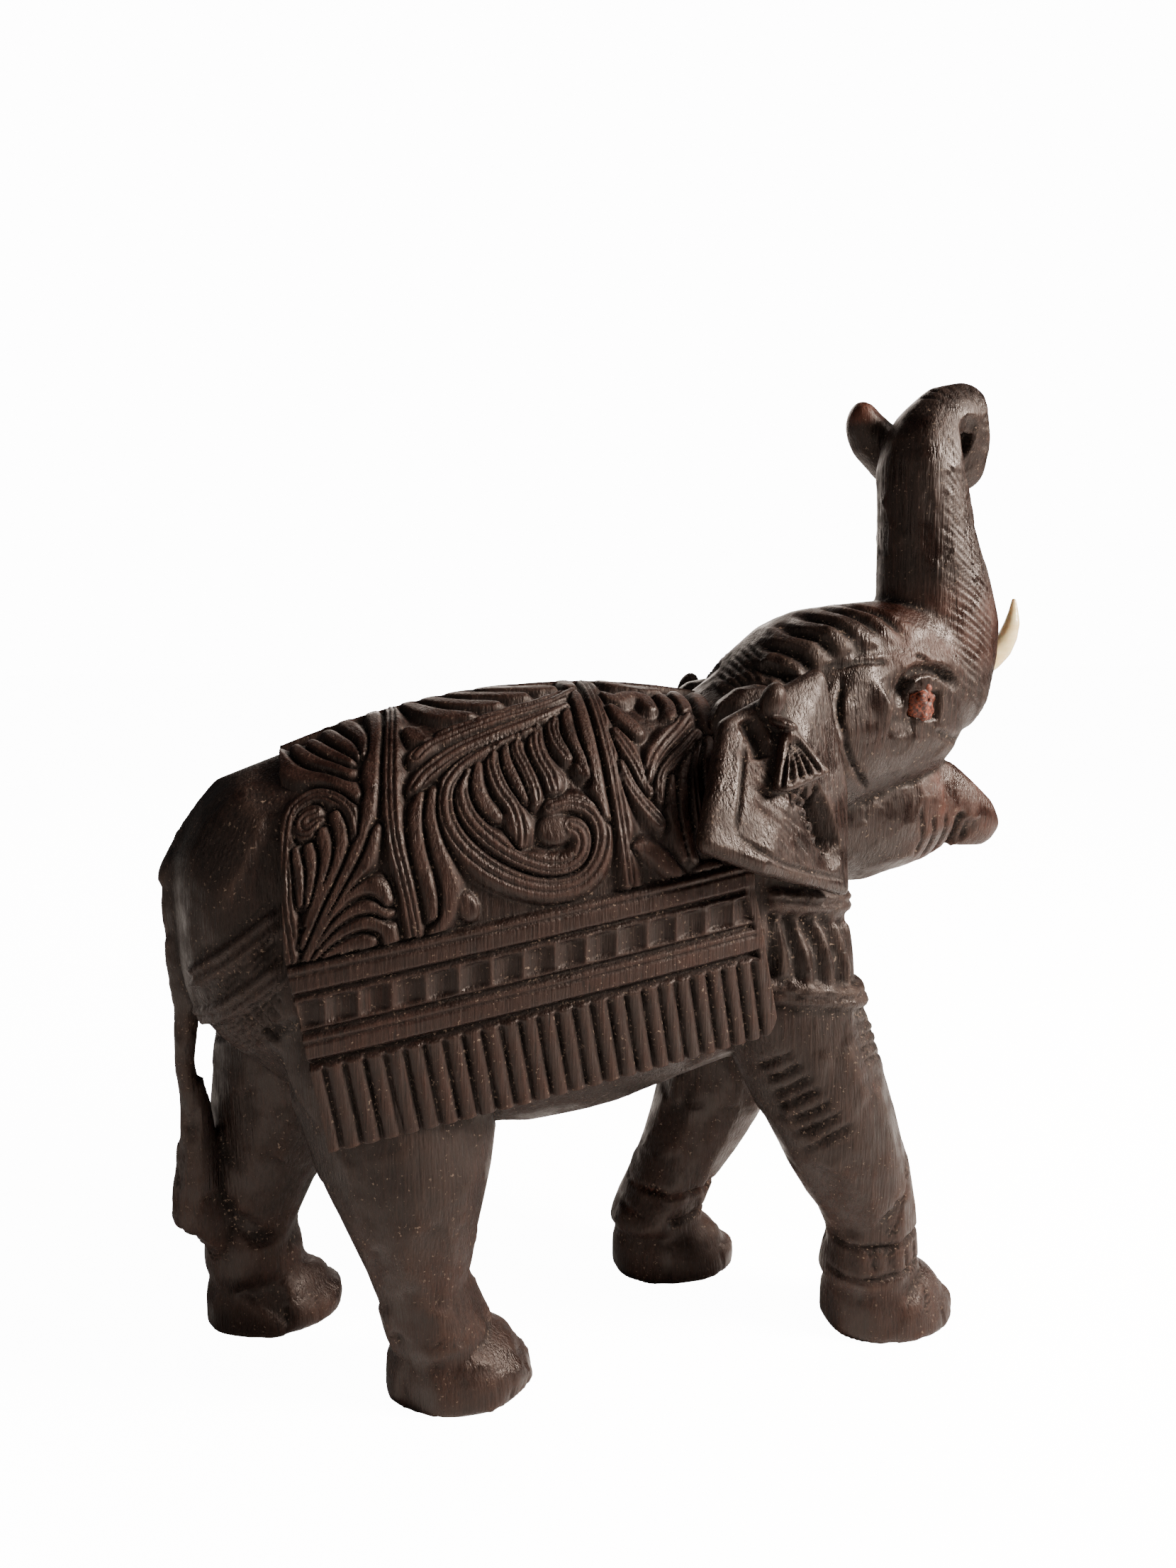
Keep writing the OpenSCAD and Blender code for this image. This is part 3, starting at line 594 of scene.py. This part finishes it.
def rim(form, depth):
    """Turns the panel's outer edge inward and closes the back, so the cloth has thickness."""
    mesh = form.ob.data
    bm = bmesh.new()
    bm.from_mesh(mesh)
    edges = [e for e in bm.edges if e.is_boundary]
    got = bmesh.ops.extrude_edge_only(bm, edges=edges)
    turned = [g for g in got["geom"] if isinstance(g, bmesh.types.BMVert)]
    for vert in turned:
        out = Vector((0, vert.co.y, max(vert.co.z - 70, 0) * 0.6))
        vert.co -= out.normalized() * depth if out.length else Vector((0, 0, depth))
    loop = [g for g in got["geom"] if isinstance(g, bmesh.types.BMEdge) and g.is_boundary]
    bmesh.ops.edgeloop_fill(bm, edges=loop)
    bmesh.ops.recalc_face_normals(bm, faces=bm.faces)
    wear = form.wear
    made = Form(form.ob.name + "_made", bm, smooth=0)
    made.wear[: len(wear)] = wear
    old = form.ob
    name = old.name
    bpy.data.objects.remove(old)
    made.ob.name = made.ob.data.name = name
    return made


# ---------------------------------------------------------------- body
TORSO = [
    (-56, 49, 92.4, 17.6, 13.5), (-41, 39, 97.4, 20.7, 17), (-20, 36, 101.4, 22, 20),
    (10, 43, 99.4, 20.7, 18), (19, 48, 87.4, 18, 13),
]
# each leg: its lumps from the body to the ankle, and the middle of its sole
LEGS = [
    ([((-41, -10.1, 53), (15, 11, 15)), ((-38.5, -13, 35), (12, 9.6, 9)), ((-37.1, -13, 19), (7.1, 6.7, 6)),
      ((-34.9, -13, 10), (7.7, 7.3, 4))], (-31.5, -13)),
    ([((-50, 10.1, 53), (15, 11, 15)), ((-56.5, 13, 35), (11, 9.6, 9)), ((-61, 13, 19), (7.1, 6.7, 6)),
      ((-61.9, 13, 10), (7.7, 7.3, 4))], (-58.5, 13)),
    ([((21, -9.8, 53), (11, 10.1, 12)), ((28.5, -12.2, 33), (9.6, 8.8, 8)), ((34.5, -12, 19), (7.1, 6.7, 6)),
      ((34.6, -12, 10), (7.7, 7.3, 4))], (38, -12)),
    ([((20, 9.8, 53), (11, 10.1, 12)), ((17, 12.2, 33), (9.8, 8.8, 8)), ((9.9, 12, 19), (7.1, 6.7, 6)),
      ((6.1, 12, 10), (7.7, 7.3, 4))], (9.5, 12)),
]
TAIL = [
    ((-62, 0, 88), (2.3, 2.3, 2.3)), ((-67, 0, 81), (2.8, 2.8, 2.3)), ((-70.2, 0.5, 72), (2.3, 2.3, 2.3)),
    ((-69.2, 2, 56), (1.8, 1.8, 2.3)), ((-69.8, 3.5, 47), (1.7, 1.7, 2.3)), ((-69, 5.5, 39), (2.1, 2.3, 2.3)),
    ((-69.2, 7, 28), (3.2, 3.2, 4)), ((-69.6, 8, 22), (3.6, 3.7, 4)), ((-65.4, 9.5, 13.4), (2.8, 2.1, 2.4)),
]


def build_torso(context):
    s = context.scene.elephant
    bm = bmesh.new()
    sections = [
        [((x, 0, low + (high - low) * 0.4), (half_l, half_w - 0.5, (high - low) * 0.4)),
         ((x, 0, high - (high - low) * 0.4 - 0.5), (half_l, half_w * 0.92, (high - low) * 0.4))]
        for x, low, high, half_w, half_l in smooth_path(TORSO, 9.0)
    ]
    for one, two in zip(sections[:-1], sections[1:]):
        hull_of(bm, one + two, fine=28)
    for side in (LEFT, RIGHT):
        lump(bm, (19.5, side * 9.1, 59), (11.5, 11, 15))
    for stations, (sole_x, sole_y) in LEGS:
        limb(bm, stations)
        got = bmesh.ops.create_cone(bm, cap_ends=True, segments=32, radius1=1, radius2=1, depth=4.4)
        at = Matrix.LocRotScale(Vector((sole_x, sole_y, 2.2)), Euler(), Vector((10.5, 8, 1)))
        bmesh.ops.transform(bm, matrix=at, verts=got["verts"])
        lump(bm, (sole_x - 1, sole_y, 5), (9.6, 7.6, 5))
    limb(bm, TAIL, 5.0)
    form = Form("carved_torso", bm, s.torso_cell / MM, smooth=5)
    form.facets(9, 0.55, 3)
    form.relax(1)
    co = form.co
    x, y, z = co.T
    bare = (1 - ease(x, -56.5, -54.5)) * ease(x, -68.2, -66.6)
    # crupper: two raised bands that fall towards the rear, and a fluted strip under them
    slope = math.radians(38)
    q = (z - 66) * math.cos(slope) - (x + 64) * math.sin(slope)
    for low in (0.0, -5.5):
        d = np.abs(q - low)
        form.push(0.9 * ease(1.5 - d, 0, 0.6) - 0.7 * np.clip(1 - d / 0.7, 0, 1), bare)
    along = (x + 64) * math.cos(slope) + (z - 66) * math.sin(slope) + np.abs(y) * 0.6
    strip = ease(-q, 7.2, 7.8) * ease(13.5 + q, 0, 0.8)
    form.push(-0.8 * np.clip(1 - np.abs(np.mod(along / 1.9, 1) * 2 - 1) / 0.8, 0, 1) ** 0.8, bare * strip)
    # collar: ridged rims and deep flutes across the chest
    fore = ease(x, 12.5, 14.0)
    lean = z + 0.18 * (x - 14)
    for low in (72.2, 58.6):
        d = np.abs(lean - low)
        form.push(1.0 * ease(1.7 - d, 0, 0.6) - 0.5 * np.clip(1 - d / 0.5, 0, 1), fore)
    form.push(-0.3 * np.clip(1 - np.abs(lean - 69.6) / 0.8, 0, 1), fore)
    round_chest = np.arctan2(y, x - 4) * 20
    strip = ease(lean, 59.9, 60.9) * ease(70.6 - lean, 0, 0.9)
    flute = np.clip(1 - np.abs(np.mod(round_chest / 2.6, 1) * 2 - 1) / 0.78, 0, 1)
    form.push(-1.3 * flute**0.7, fore * strip)
    form.look()
    cut = form.stroke
    # knife cuts on the legs and anklets
    for k in range(7):
        px, pz = 13.4 + 1.5 * k, 45.6 - 1.9 * k
        cut([(px, -15.5, pz), (px + 2.0, -17.5, pz + 1.6), (px + 4.2, -19, pz + 3.4)], 1.3, 0.75)
    for k in range(5):
        drop = 1.9 * k
        cut([(28.4, -18.6, 54 - drop), (31.2, -16.6, 53.6 - drop), (34, -13.6, 53.2 - drop)], 1.0, 0.5)
    for level in (10.9, 15.8):
        cut([(27.7, -13, level - 0.4), (34.5, -19, level), (41.5, -13, level + 0.3)], 1.3, 0.9)
        cut([(3, 11, level), (9.9, 18.5, level), (16.8, 12, level)], 1.3, 0.9)
        cut([(3, 11, level), (9, 5, level), (16.8, 10, level + 0.4)], 1.3, 0.9, wear=0.7)
    for k in range(5):
        cut([(29.5 + 2.6 * k, -18.4 + abs(k - 2), 15), (30.1 + 2.6 * k, -18.6 + abs(k - 2), 11.6)], 1.1, 0.5)
    cut([(42.4, -15.4, 9.4), (40.5, -19.7, 4.3)], 0.9, 0.4)
    cut([(34.5, -19, 16), (37, -18, 22), (37.6, -17, 28)], 0.7, 0.35)
    cut([(-36.2, -20, 11.5), (-31.2, -19.3, 10.3)], 1.0, 0.4)
    # toenails: short upright cuts at the front of each sole
    for _, (sole_x, sole_y) in LEGS:
        for turn in (-50, -25, 0, 25, 50):
            a = math.radians(turn)
            px, py = sole_x + 10.5 * math.cos(a), sole_y + 8 * math.sin(a)
            cut([(px, py, 4.6), (px, py, 0.6)], 1.0, 0.4)
    # hair cuts in the tail's tuft
    for k in range(7):
        shift = (k - 3) * 0.9
        middle, end = (-72 + shift * 0.5, 7 + shift, 22), (-67 + shift, 9 + shift * 0.5, 13)
        cut([(-70.5 + shift * 0.4, 6 + shift, 33), middle, end], 0.9, 0.45)
    low_leg = ease(38 - z, 0, 20)
    form.wear = np.maximum(form.wear, 0.08 * low_leg)
    material = wood_of(context, "stained_hardwood_body")
    form.finish(material, "carved_body", "stained_hardwood", flat_at_floor=True)


# ---------------------------------------------------------------- head
# stations of each limb: its place, and its half-sizes there
HEAD = [
    ((13, 0, 88), (13, 16.3, 14)), ((22, 0, 93), (14, 14.6, 15)), ((29, 0, 96), (14, 14.6, 15)),
    ((40, 0, 99), (14, 12, 14)),
]
CROWN = [
    ((16, 0, 99), (7, 11.4, 6.6)), ((25, 0, 106.4), (9, 11.4, 6)), ((33, 0, 109), (9, 11.1, 6)),
    ((45.5, 0, 108), (8, 9.5, 8)),
]
JAW = [
    ((24, 0, 82), (12, 9.5, 11)), ((37, 0, 81), (9, 8, 10.5)), ((45, 0, 82.5), (8.6, 6.6, 9.4)),
    ((50, 0, 82.5), (6, 5, 7.2)), ((58, 0, 79.5), (3, 3.4, 4.4)), ((60.4, 0, 78.2), (1.4, 2, 1.4)),
]
TRUNK = [
    ((48.5, 0, 102), (9.7, 9.6, 9)), ((49.5, 0, 112), (10.2, 8.6, 6)), ((46.8, 0, 127.6), (7.6, 7.3, 4)),
    ((45.9, 0, 136.7), (7, 7, 4)), ((47.1, 0.4, 141.7), (6, 6, 5)), ((52.5, 1.6, 145.2), (5.1, 4.8, 4.8)),
    ((54.8, 4.4, 137.8), (4.3, 4.3, 4.3)), ((49.9, 8.4, 136.6), (4.3, 4.3, 4.3)),
    ((42.3, 9.6, 142), (3.8, 3.8, 3.8)), ((39.9, 9.2, 145.6), (2.4, 2.9, 2.4)),
]
SEAT = (42.3, 9.6, 99.8)


def build_head(context):
    s = context.scene.elephant
    bm = bmesh.new()
    for stations in (HEAD, CROWN, JAW, TRUNK):
        limb(bm, stations, 5.0)
    for side in (LEFT, RIGHT):
        limb(bm, [((32, side * 9, 99), (11, 5, 9)), ((43.3, side * 6.5, 103.8), (8, 4.5, 8))])
    form = Form("carved_head", bm, s.head_cell / MM, smooth=8)
    cheek = ease(form.co[:, 0], 26, 31) * ease(form.co[:, 2], 90, 95)
    form.facets(7, 0.6, 11, ease(118 - form.co[:, 2], 0, 6) * (1 - 0.75 * cheek))
    form.facets(6, 0.35, 12, ease(form.co[:, 2] - 116, 0, 6))
    form.relax(1)
    for side in (RIGHT, LEFT):
        def cut(points, *args, **more):
            form.stroke([(px, -side * py, pz) for px, py, pz in points], *args, **more)
        # leaf-shaped scoops over the cap, and fine ribs behind them
        for px, py, pz in (
            (13.9, -17, 103.7), (17, -13, 105.6), (20.5, -11, 107.8), (24.2, -10, 109.8), (28, -9, 111.3),
            (32, -8.2, 112.4), (35.6, -7.6, 113),
        ):
            upper, end = (px - 2.6, py + 3.4, pz + 0.9), (px - 3.6, py + 6.4, pz + 1.4)
            cut([(px + 2.2, py - 1.6, pz - 3.4), (px, py, pz), upper, end], 2.7, 1.25, taper=3)
        for k in range(6):
            middle, end = (11.4 + k * 0.9, -10, 102.6 + k * 0.6), (11.8 + k * 0.8, -17.5, 98.6)
            cut([(10.6 + k * 1.1, -2, 104.6 + k * 0.8), middle, end], 0.9, 0.4)
        # the dark edge of the glossy cheek, and the flat cheek itself
        cut([(26.2, -14.2, 104), (26.2, -14.4, 97), (28.4, -13.8, 91), (33, -12, 86)], 1.5, 0.7)
        cut([(34.6, -12.4, 104.4), (37.2, -12, 100), (36.4, -12.2, 94.5)], 5.4, 1.3, round_cut=True, taper=3)
        cut([(24, -14, 105.4), (29, -12.8, 106.6), (34.6, -11.8, 106)], 1.4, 0.5)
        # eyelid crease over the tusk's seat, and the eye's slit
        lid = [(36.8, -12, 100.6), (38.7, -12, 104.6), (43.0, -11.2, 104.9), (47.2, -10.2, 102.6)]
        cut(lid, 2.1, 1.5, round_cut=True)
        cut([(39.9, -11.3, 107.4), (41.9, -11.1, 106)], 0.9, 0.7, taper=10)
        # the seat of the tusk
        cut([(41.0, -9.8, 101.6), (40.7, -9.8, 97.4)], 6.0, 1.5, round_cut=True, taper=20)
        # corner of the mouth and the wrinkles under the jaw
        cut([(43.4, -11, 95.6), (46.6, -9, 94.4), (50.2, -5, 93.6)], 1.4, 0.5)
        for px, py, pz in (
            (44, -6.6, 78), (46.6, -6, 77), (49, -5, 76.8), (51.2, -4.2, 77), (53.2, -2.8, 77.4),
        ):
            cut([(px, py, pz + 4.6), (px + 0.8, py + 0.6, pz), (px + 0.2, py + 2.6, pz - 3)], 1.2, 0.5)
        # the notch between the lip and the chin, and the worn patch on the jaw
        cut([(52.8, -5, 81.6), (52.2, -3, 78.2), (51.8, 0, 76.4)], 2.4, 1.3, taper=8)
        cut([(47.4, -6, 88), (48.7, -5.6, 85.2), (48.4, -5.8, 82)], 4.5, 0.1, wear=0.5)
        # diagonal hatches on the front half of the trunk
        for k in range(27):
            top = 141 - 1.45 * k
            wide = 0.3 + 0.11 * k
            shift = 0.5 * math.sin(2.3 * k)
            middle, end = (49.2 + wide, -7.6, top - 3.6), (53.6 + wide, -4.2, top - 8.4)
            cut([(45.8 + shift, -7.6, top - shift), middle, end], 0.85, 0.2)
    # fine ridges round the top of the curl
    for k in range(9):
        a = math.radians(12 + 16 * k)
        px, pz = 51 + 4.4 * math.cos(a), 142 + 4.4 * math.sin(a)
        form.stroke([(px, -2.6, pz), (51 + 7.4 * math.cos(a), -0.6, 142 + 7.4 * math.sin(a))], 0.9, 0.3)
    # the nostril's hollow in the curl, and worn wood at its end
    form.stroke([(51.8, -4, 141.0), (53.0, -3.6, 136.6)], 6.2, 4.0, round_cut=True, taper=20)
    x, y, z = form.co.T
    form.wear = np.maximum(form.wear, 0.5 * ease(z - 143.5, 0, 1.5) * ease(44.5 - x, 0, 2) * ease(y, 5, 7))
    form.wear = np.maximum(form.wear, 0.22 * ease(z - 103, 0, 5) * ease(x, 30, 38) * ease(120 - z, 0, 6))
    form.wear = np.maximum(form.wear, 0.22 * ease(92 - z, 0, 6) * ease(x, 40, 48))
    form.finish(wood_of(context, "stained_hardwood_head", 0.28), "carved_body", "stained_hardwood")


def build_ears(context):
    s = context.scene.elephant
    for side, name in ((RIGHT, "carved_right_ear"), (LEFT, "carved_left_ear")):
        bm = bmesh.new()
        r = 1.6
        root, edge, top = side * 14, side * 26.4, 102
        hull_of(bm, [((22, root, top + 1.6), (r, r, r)), ((6.8, root + side * 4.4, top - 5), (r, r, r)),
                     ((1.2, edge, top - 19.6), (r, r, r)), ((9, edge, top - 22.8), (r, r, r)),
                     ((25, root + side * 2, top - 14), (r, r, r))])
        hull_of(bm, [((1.2, edge, top - 19.6), (r, r, r)), ((9, edge, top - 22.8), (r, r, r)),
                     ((25, root + side * 2, top - 14), (r, r, r)),
                     ((24.6, root + side * 5, top - 28.6), (r * 0.7, r, r * 0.7))])
        hull_of(bm, [((14, side * 11, 96), (8, 4, 7)), ((19, side * 13, 82), (8, 5, 6))])
        # a tassel in front of the ear: a drop, a bead ring and a bell
        lump(bm, (13.4, side * 18.8, 100.8), (1.9, 1.9, 2.9), (0, 18, 0), fine=12)
        lump(bm, (14.5, side * 20.2, 97.7), (2.3, 2.1, 0.9), (0, 18, 0), fine=14)
        hull_of(bm, [((15.1, side * 20.8, 96.2), (1.5, 1.5, 1)), ((12.8, side * 24.6, 89.4), (1.5, 1.5, 0.8)),
                     ((19.2, side * 22.4, 91.2), (1.5, 1.5, 0.8))])
        form = Form(name, bm, s.ear_cell / MM, smooth=2)

        def cut(points, *args, **more):
            form.stroke([(px, -side * py, pz) for px, py, pz in points], *args, **more)
        # rough dark hollow near the top
        cut([(9.0, -19, 98.4), (10.2, -20, 96.4), (10.6, -21, 92.6)], 3.6, 1.7, taper=12)
        # flutes of the bell and the square teeth under it
        for k in range(5):
            cut([(14.5 + 0.3 * k, -22.4, 95.8), (12.0 + 1.7 * k, -26 + 0.5 * k, 89.6 + 0.4 * k)], 1.0, 0.9)
        for k in range(4):
            across, out = 1.9 * k, 0.6 * k
            cut([(14.6 + across, -23.4 + out, 89), (14.8 + across, -23.6 + out, 86.6)], 1.0, 1.1, taper=20)
        cut([(11, -25, 88.4), (15, -24, 89.0), (20.4, -21.6, 90.0)], 1.0, 1.2)
        # the recess below them with its stepped notches
        cut([(19.0, -22, 87.6), (20.8, -21.4, 83.8), (22.2, -21.2, 79)], 5.0, 3.6, taper=4)
        for k in range(5):
            end = (19.8 + k * 0.5, -21.8, 87 - 2.1 * k)
            cut([(14.2 + k * 1.1, -23.6 + k * 0.2, 89.4 - 2.0 * k), end], 1.3, 1.1)
        # the bevelled rear and lower edges, and knife marks across the flap
        cut([(5.6, -27.6, 83.4), (12, -27.2, 79.4), (23.6, -20, 75)], 1.0, 0.4)
        cut([(9.2, -19.6, 97.4), (5.4, -27.4, 84.4)], 1.1, 0.45)
        rng = np.random.default_rng(31 + side)
        for _ in range(46):
            px, share = rng.uniform(6, 17), rng.uniform(0, 1)
            pz = 96 - 15 * share
            cut([(px, -20 - 6 * share, pz), (px + 3, -20 - 6 * share, pz - 2.4)], 0.7, 0.12, wear=0.1)
        form.finish(wood_of(context, name + "_wood", 0.3), "carved_body", "stained_hardwood")


def build_cloth(context):
    s = context.scene.elephant
    for side, name in ((RIGHT, "saddle_cloth_right"), (LEFT, "saddle_cloth_left")):
        form = cloth_panel(name, side, s.cloth_rows, s.cloth_rows, s.relief / MM)
        form = rim(form, 2.4)
        form.finish(wood_of(context, name + "_wood", 0.38), "carved_body", "stained_hardwood")


# the tusk's line as shares of its length, and its thickness as a share of that at the root
TUSK = [
    (0, 0, 0, 1), (0.11, 0.09, -0.01, 1), (0.24, 0.145, -0.005, 0.97), (0.38, 0.165, 0.025, 0.92),
    (0.52, 0.165, 0.06, 0.98), (0.66, 0.16, 0.11, 1.08), (0.77, 0.155, 0.2, 1.08),
    (0.82, 0.15, 0.32, 0.78), (0.825, 0.15, 0.43, 0.2),
]


def build_tusk(context):
    s = context.scene.elephant
    thick, length = 3.6, 38
    bm = bmesh.new()
    stations = [((40.6, 7.6, 99.8), (1.75, 1.75, 1.75))]
    for a, b, c, share in TUSK:
        r = thick * share / 2
        stations.append(((SEAT[0] + a * length, SEAT[1] + b * length, SEAT[2] + c * length), (r, r, r)))
    limb(bm, stations, 2.5)
    form = Form("cream_left_tusk", bm, 0.26, smooth=6)
    material = polished_cream("polished_cream_tusk", [*s.cream, 1])
    form.finish(material, "left_tusk", "cream_tusk")


def build_sockets(context):
    amber, pale = linear("#36140a"), linear("#7d3d26")
    filler = raw_filler("glue_and_wood_dust", amber, pale)
    bm = bmesh.new()
    rng = np.random.default_rng(5)
    lump(bm, (41.1, -10.0, 99.5), (2.9, 2.2, 3.5), (0, 0, 40), fine=18)
    for _ in range(16):
        turn, reach = rng.uniform(0, 2 * math.pi), rng.uniform(0.8, 2.1)
        side = reach * math.cos(turn)
        up = reach * math.sin(turn) * 1.15
        lump(bm, (41.7 + side * 0.77, -11.3 + side * 0.64, 99.8 + up), (0.8, 0.8, 0.8), fine=10)
    form = Form("right_socket_fill", bm, 0.16, smooth=2)
    form.stroke([(42.2, -12.4, 100.4), (42.2, -12.4, 100.1)], 1.5, 2.2, taper=50)
    form.finish(filler, "right_socket_filler", "socket_filler")
    for node, material in (("left_socket_filler", filler), ("left_tusk_pin", drawn_wire("drawn_steel_wire"))):
        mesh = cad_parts[node].data
        mesh.materials.clear()
        mesh.materials.append(material)


def build_stage(context):
    bm = bmesh.new()
    bmesh.ops.create_grid(bm, x_segments=1, y_segments=1, size=3.0)
    mesh = bpy.data.meshes.new("floor")
    bm.to_mesh(mesh)
    bm.free()
    floor = bpy.data.objects.new("floor", mesh)
    context.scene.collection.objects.link(floor)
    material, tree = blank("pale_paper")
    # the backdrop and the floor show bright, and light the object only softly
    seen = add(tree, "ShaderNodeLightPath", out="Is Camera Ray")
    lift = add(tree, "ShaderNodeMapRange", {"To Min": 0.0, "To Max": 13.5}, {"Value": seen})
    shader = add(
        tree, "ShaderNodeBsdfPrincipled",
        {"Base Color": linear("#fbfbfb"), "Roughness": 0.9, "Emission Color": (1, 1, 1, 1)},
        {"Emission Strength": lift},
    )
    add(tree, "ShaderNodeOutputMaterial", links={"Surface": shader})
    mesh.materials.append(material)
    world = bpy.data.worlds.new("studio")
    world.use_nodes = True
    tree = world.node_tree
    tree.nodes.clear()
    seen = add(tree, "ShaderNodeLightPath", out="Is Camera Ray")
    strength = add(tree, "ShaderNodeMapRange", {"To Min": 0.05, "To Max": 14.0}, {"Value": seen})
    light = add(tree, "ShaderNodeBackground", {"Color": (1, 1, 1, 1)}, {"Strength": strength})
    add(tree, "ShaderNodeOutputWorld", links={"Surface": light})
    context.scene.world = world
    sun = bpy.data.lights.new("overcast", "SUN")
    sun.energy, sun.angle, sun.color = 1.0, math.radians(22), linear("#fff0e4")[:3]
    ob = bpy.data.objects.new("overcast", sun)
    ob.rotation_euler = (Vector((-0.7, 0.3, -1))).to_track_quat("-Z", "Y").to_euler()
    context.scene.collection.objects.link(ob)
    # name, place, size, power: a window in front of the elephant, a weak fill, and one for the far side
    for name, place, size, power in (
        ("key", (0.36, -0.20, 0.30), 0.12, 6.5), ("fill", (-0.45, -0.35, 0.25), 0.40, 0.5),
        ("far", (0.1, 0.55, 0.3), 0.40, 2.0),
    ):
        lamp = bpy.data.lights.new(name, "AREA")
        lamp.size, lamp.energy, lamp.color = size, power, linear("#fff0e4")[:3]
        ob = bpy.data.objects.new(name, lamp)
        ob.location = place
        ob.rotation_euler = (Vector((0, 0, 0.07)) - Vector(place)).to_track_quat("-Z", "Y").to_euler()
        context.scene.collection.objects.link(ob)
    turn, dip = math.radians(13.64), math.radians(7.5)
    ahead = Vector((math.sin(turn) * math.cos(dip), math.cos(turn) * math.cos(dip), -math.sin(dip)))
    data = bpy.data.cameras.new("camera")
    data.sensor_fit, data.sensor_height, data.lens = "VERTICAL", 36, 26.85
    data.clip_start = 0.01
    camera = bpy.data.objects.new("camera", data)
    camera.location = (-0.051, -0.17352, 0.11085)
    camera.rotation_euler = ahead.to_track_quat("-Z", "Y").to_euler()
    context.scene.collection.objects.link(camera)
    context.scene.camera = camera


# ---------------------------------------------------------------- add-on
LENGTH = {"subtype": "DISTANCE", "unit": "LENGTH", "max": 0.002}
COLOUR = {"subtype": "COLOR", "min": 0, "max": 1}


class ElephantSettings(bpy.types.PropertyGroup):
    torso_cell: bpy.props.FloatProperty(
        name="Body detail", description="Spacing of the body's surface points",
        default=0.00064, min=0.0004, **LENGTH,
    )
    head_cell: bpy.props.FloatProperty(
        name="Head detail", description="Spacing of the head's surface points",
        default=0.00038, min=0.0003, **LENGTH,
    )
    ear_cell: bpy.props.FloatProperty(
        name="Ear detail", description="Spacing of an ear's surface points",
        default=0.0003, min=0.0002, **LENGTH,
    )
    relief: bpy.props.FloatProperty(
        name="Relief depth", description="Depth of the carving on the saddle cloth",
        default=0.0011, min=0.0002, **LENGTH,
    )
    cloth_rows: bpy.props.IntProperty(
        name="Cloth rows", description="Rows of points across one side of the cloth",
        default=300, min=80, max=310,
    )
    wood_dark: bpy.props.FloatVectorProperty(
        name="Stain", description="Darkest colour of the stained wood",
        default=linear("#0c0605")[:3], **COLOUR,
    )
    wood_light: bpy.props.FloatVectorProperty(
        name="Wood", description="Lighter colour of the stained wood",
        default=linear("#1f1410")[:3], **COLOUR,
    )
    wood_worn: bpy.props.FloatVectorProperty(
        name="Worn wood", description="Colour where the stain has worn through",
        default=linear("#5e3122")[:3], **COLOUR,
    )
    dust: bpy.props.FloatVectorProperty(
        name="Dust", description="Colour of the dust in the recesses",
        default=linear("#7a6a5c")[:3], **COLOUR,
    )
    cream: bpy.props.FloatVectorProperty(
        name="Tusk", description="Colour of the tusk",
        default=linear("#efe0b0")[:3], **COLOUR,
    )


class ELEPHANT_OT_stage(bpy.types.Operator):
    """Adds the floor, the lights and the camera"""
    bl_idname = "elephant.stage"
    bl_label = "Stage"

    def execute(self, context):
        build_stage(context)
        return {"FINISHED"}


class ELEPHANT_OT_torso(bpy.types.Operator):
    """Carves the body, the legs and the tail"""
    bl_idname = "elephant.torso"
    bl_label = "Body and legs"

    def execute(self, context):
        build_torso(context)
        return {"FINISHED"}


class ELEPHANT_OT_head(bpy.types.Operator):
    """Carves the head and the raised trunk"""
    bl_idname = "elephant.head"
    bl_label = "Head and trunk"

    def execute(self, context):
        build_head(context)
        return {"FINISHED"}


class ELEPHANT_OT_ears(bpy.types.Operator):
    """Carves both ears with their tassels"""
    bl_idname = "elephant.ears"
    bl_label = "Ears"

    def execute(self, context):
        build_ears(context)
        return {"FINISHED"}


class ELEPHANT_OT_cloth(bpy.types.Operator):
    """Carves both sides of the saddle cloth"""
    bl_idname = "elephant.cloth"
    bl_label = "Saddle cloth"

    def execute(self, context):
        build_cloth(context)
        return {"FINISHED"}


class ELEPHANT_OT_tusk(bpy.types.Operator):
    """Adds the polished left tusk"""
    bl_idname = "elephant.tusk"
    bl_label = "Tusk"

    def execute(self, context):
        build_tusk(context)
        return {"FINISHED"}


class ELEPHANT_OT_sockets(bpy.types.Operator):
    """Fills the empty right seat and finishes the pin"""
    bl_idname = "elephant.sockets"
    bl_label = "Sockets"

    def execute(self, context):
        build_sockets(context)
        return {"FINISHED"}


class ELEPHANT_PT_panel(bpy.types.Panel):
    bl_label = "Carved elephant"
    bl_idname = "ELEPHANT_PT_panel"
    bl_space_type = "VIEW_3D"
    bl_region_type = "UI"
    bl_category = "Elephant"

    def draw(self, context):
        for prop in ElephantSettings.__annotations__:
            self.layout.prop(context.scene.elephant, prop)
        for step in STEPS:
            self.layout.operator(step.bl_idname)


STEPS = (
    ELEPHANT_OT_stage, ELEPHANT_OT_torso, ELEPHANT_OT_head, ELEPHANT_OT_ears,
    ELEPHANT_OT_cloth, ELEPHANT_OT_tusk, ELEPHANT_OT_sockets,
)


def register():
    for each in (ElephantSettings, *STEPS, ELEPHANT_PT_panel):
        bpy.utils.register_class(each)
    bpy.types.Scene.elephant = bpy.props.PointerProperty(type=ElephantSettings)


def unregister():
    del bpy.types.Scene.elephant
    for each in reversed((ElephantSettings, *STEPS, ELEPHANT_PT_panel)):
        bpy.utils.unregister_class(each)


def main():
    register()
    for step in STEPS:
        group, name = step.bl_idname.split(".")
        getattr(getattr(bpy.ops, group), name)()


if __name__ == "__main__":
    main()
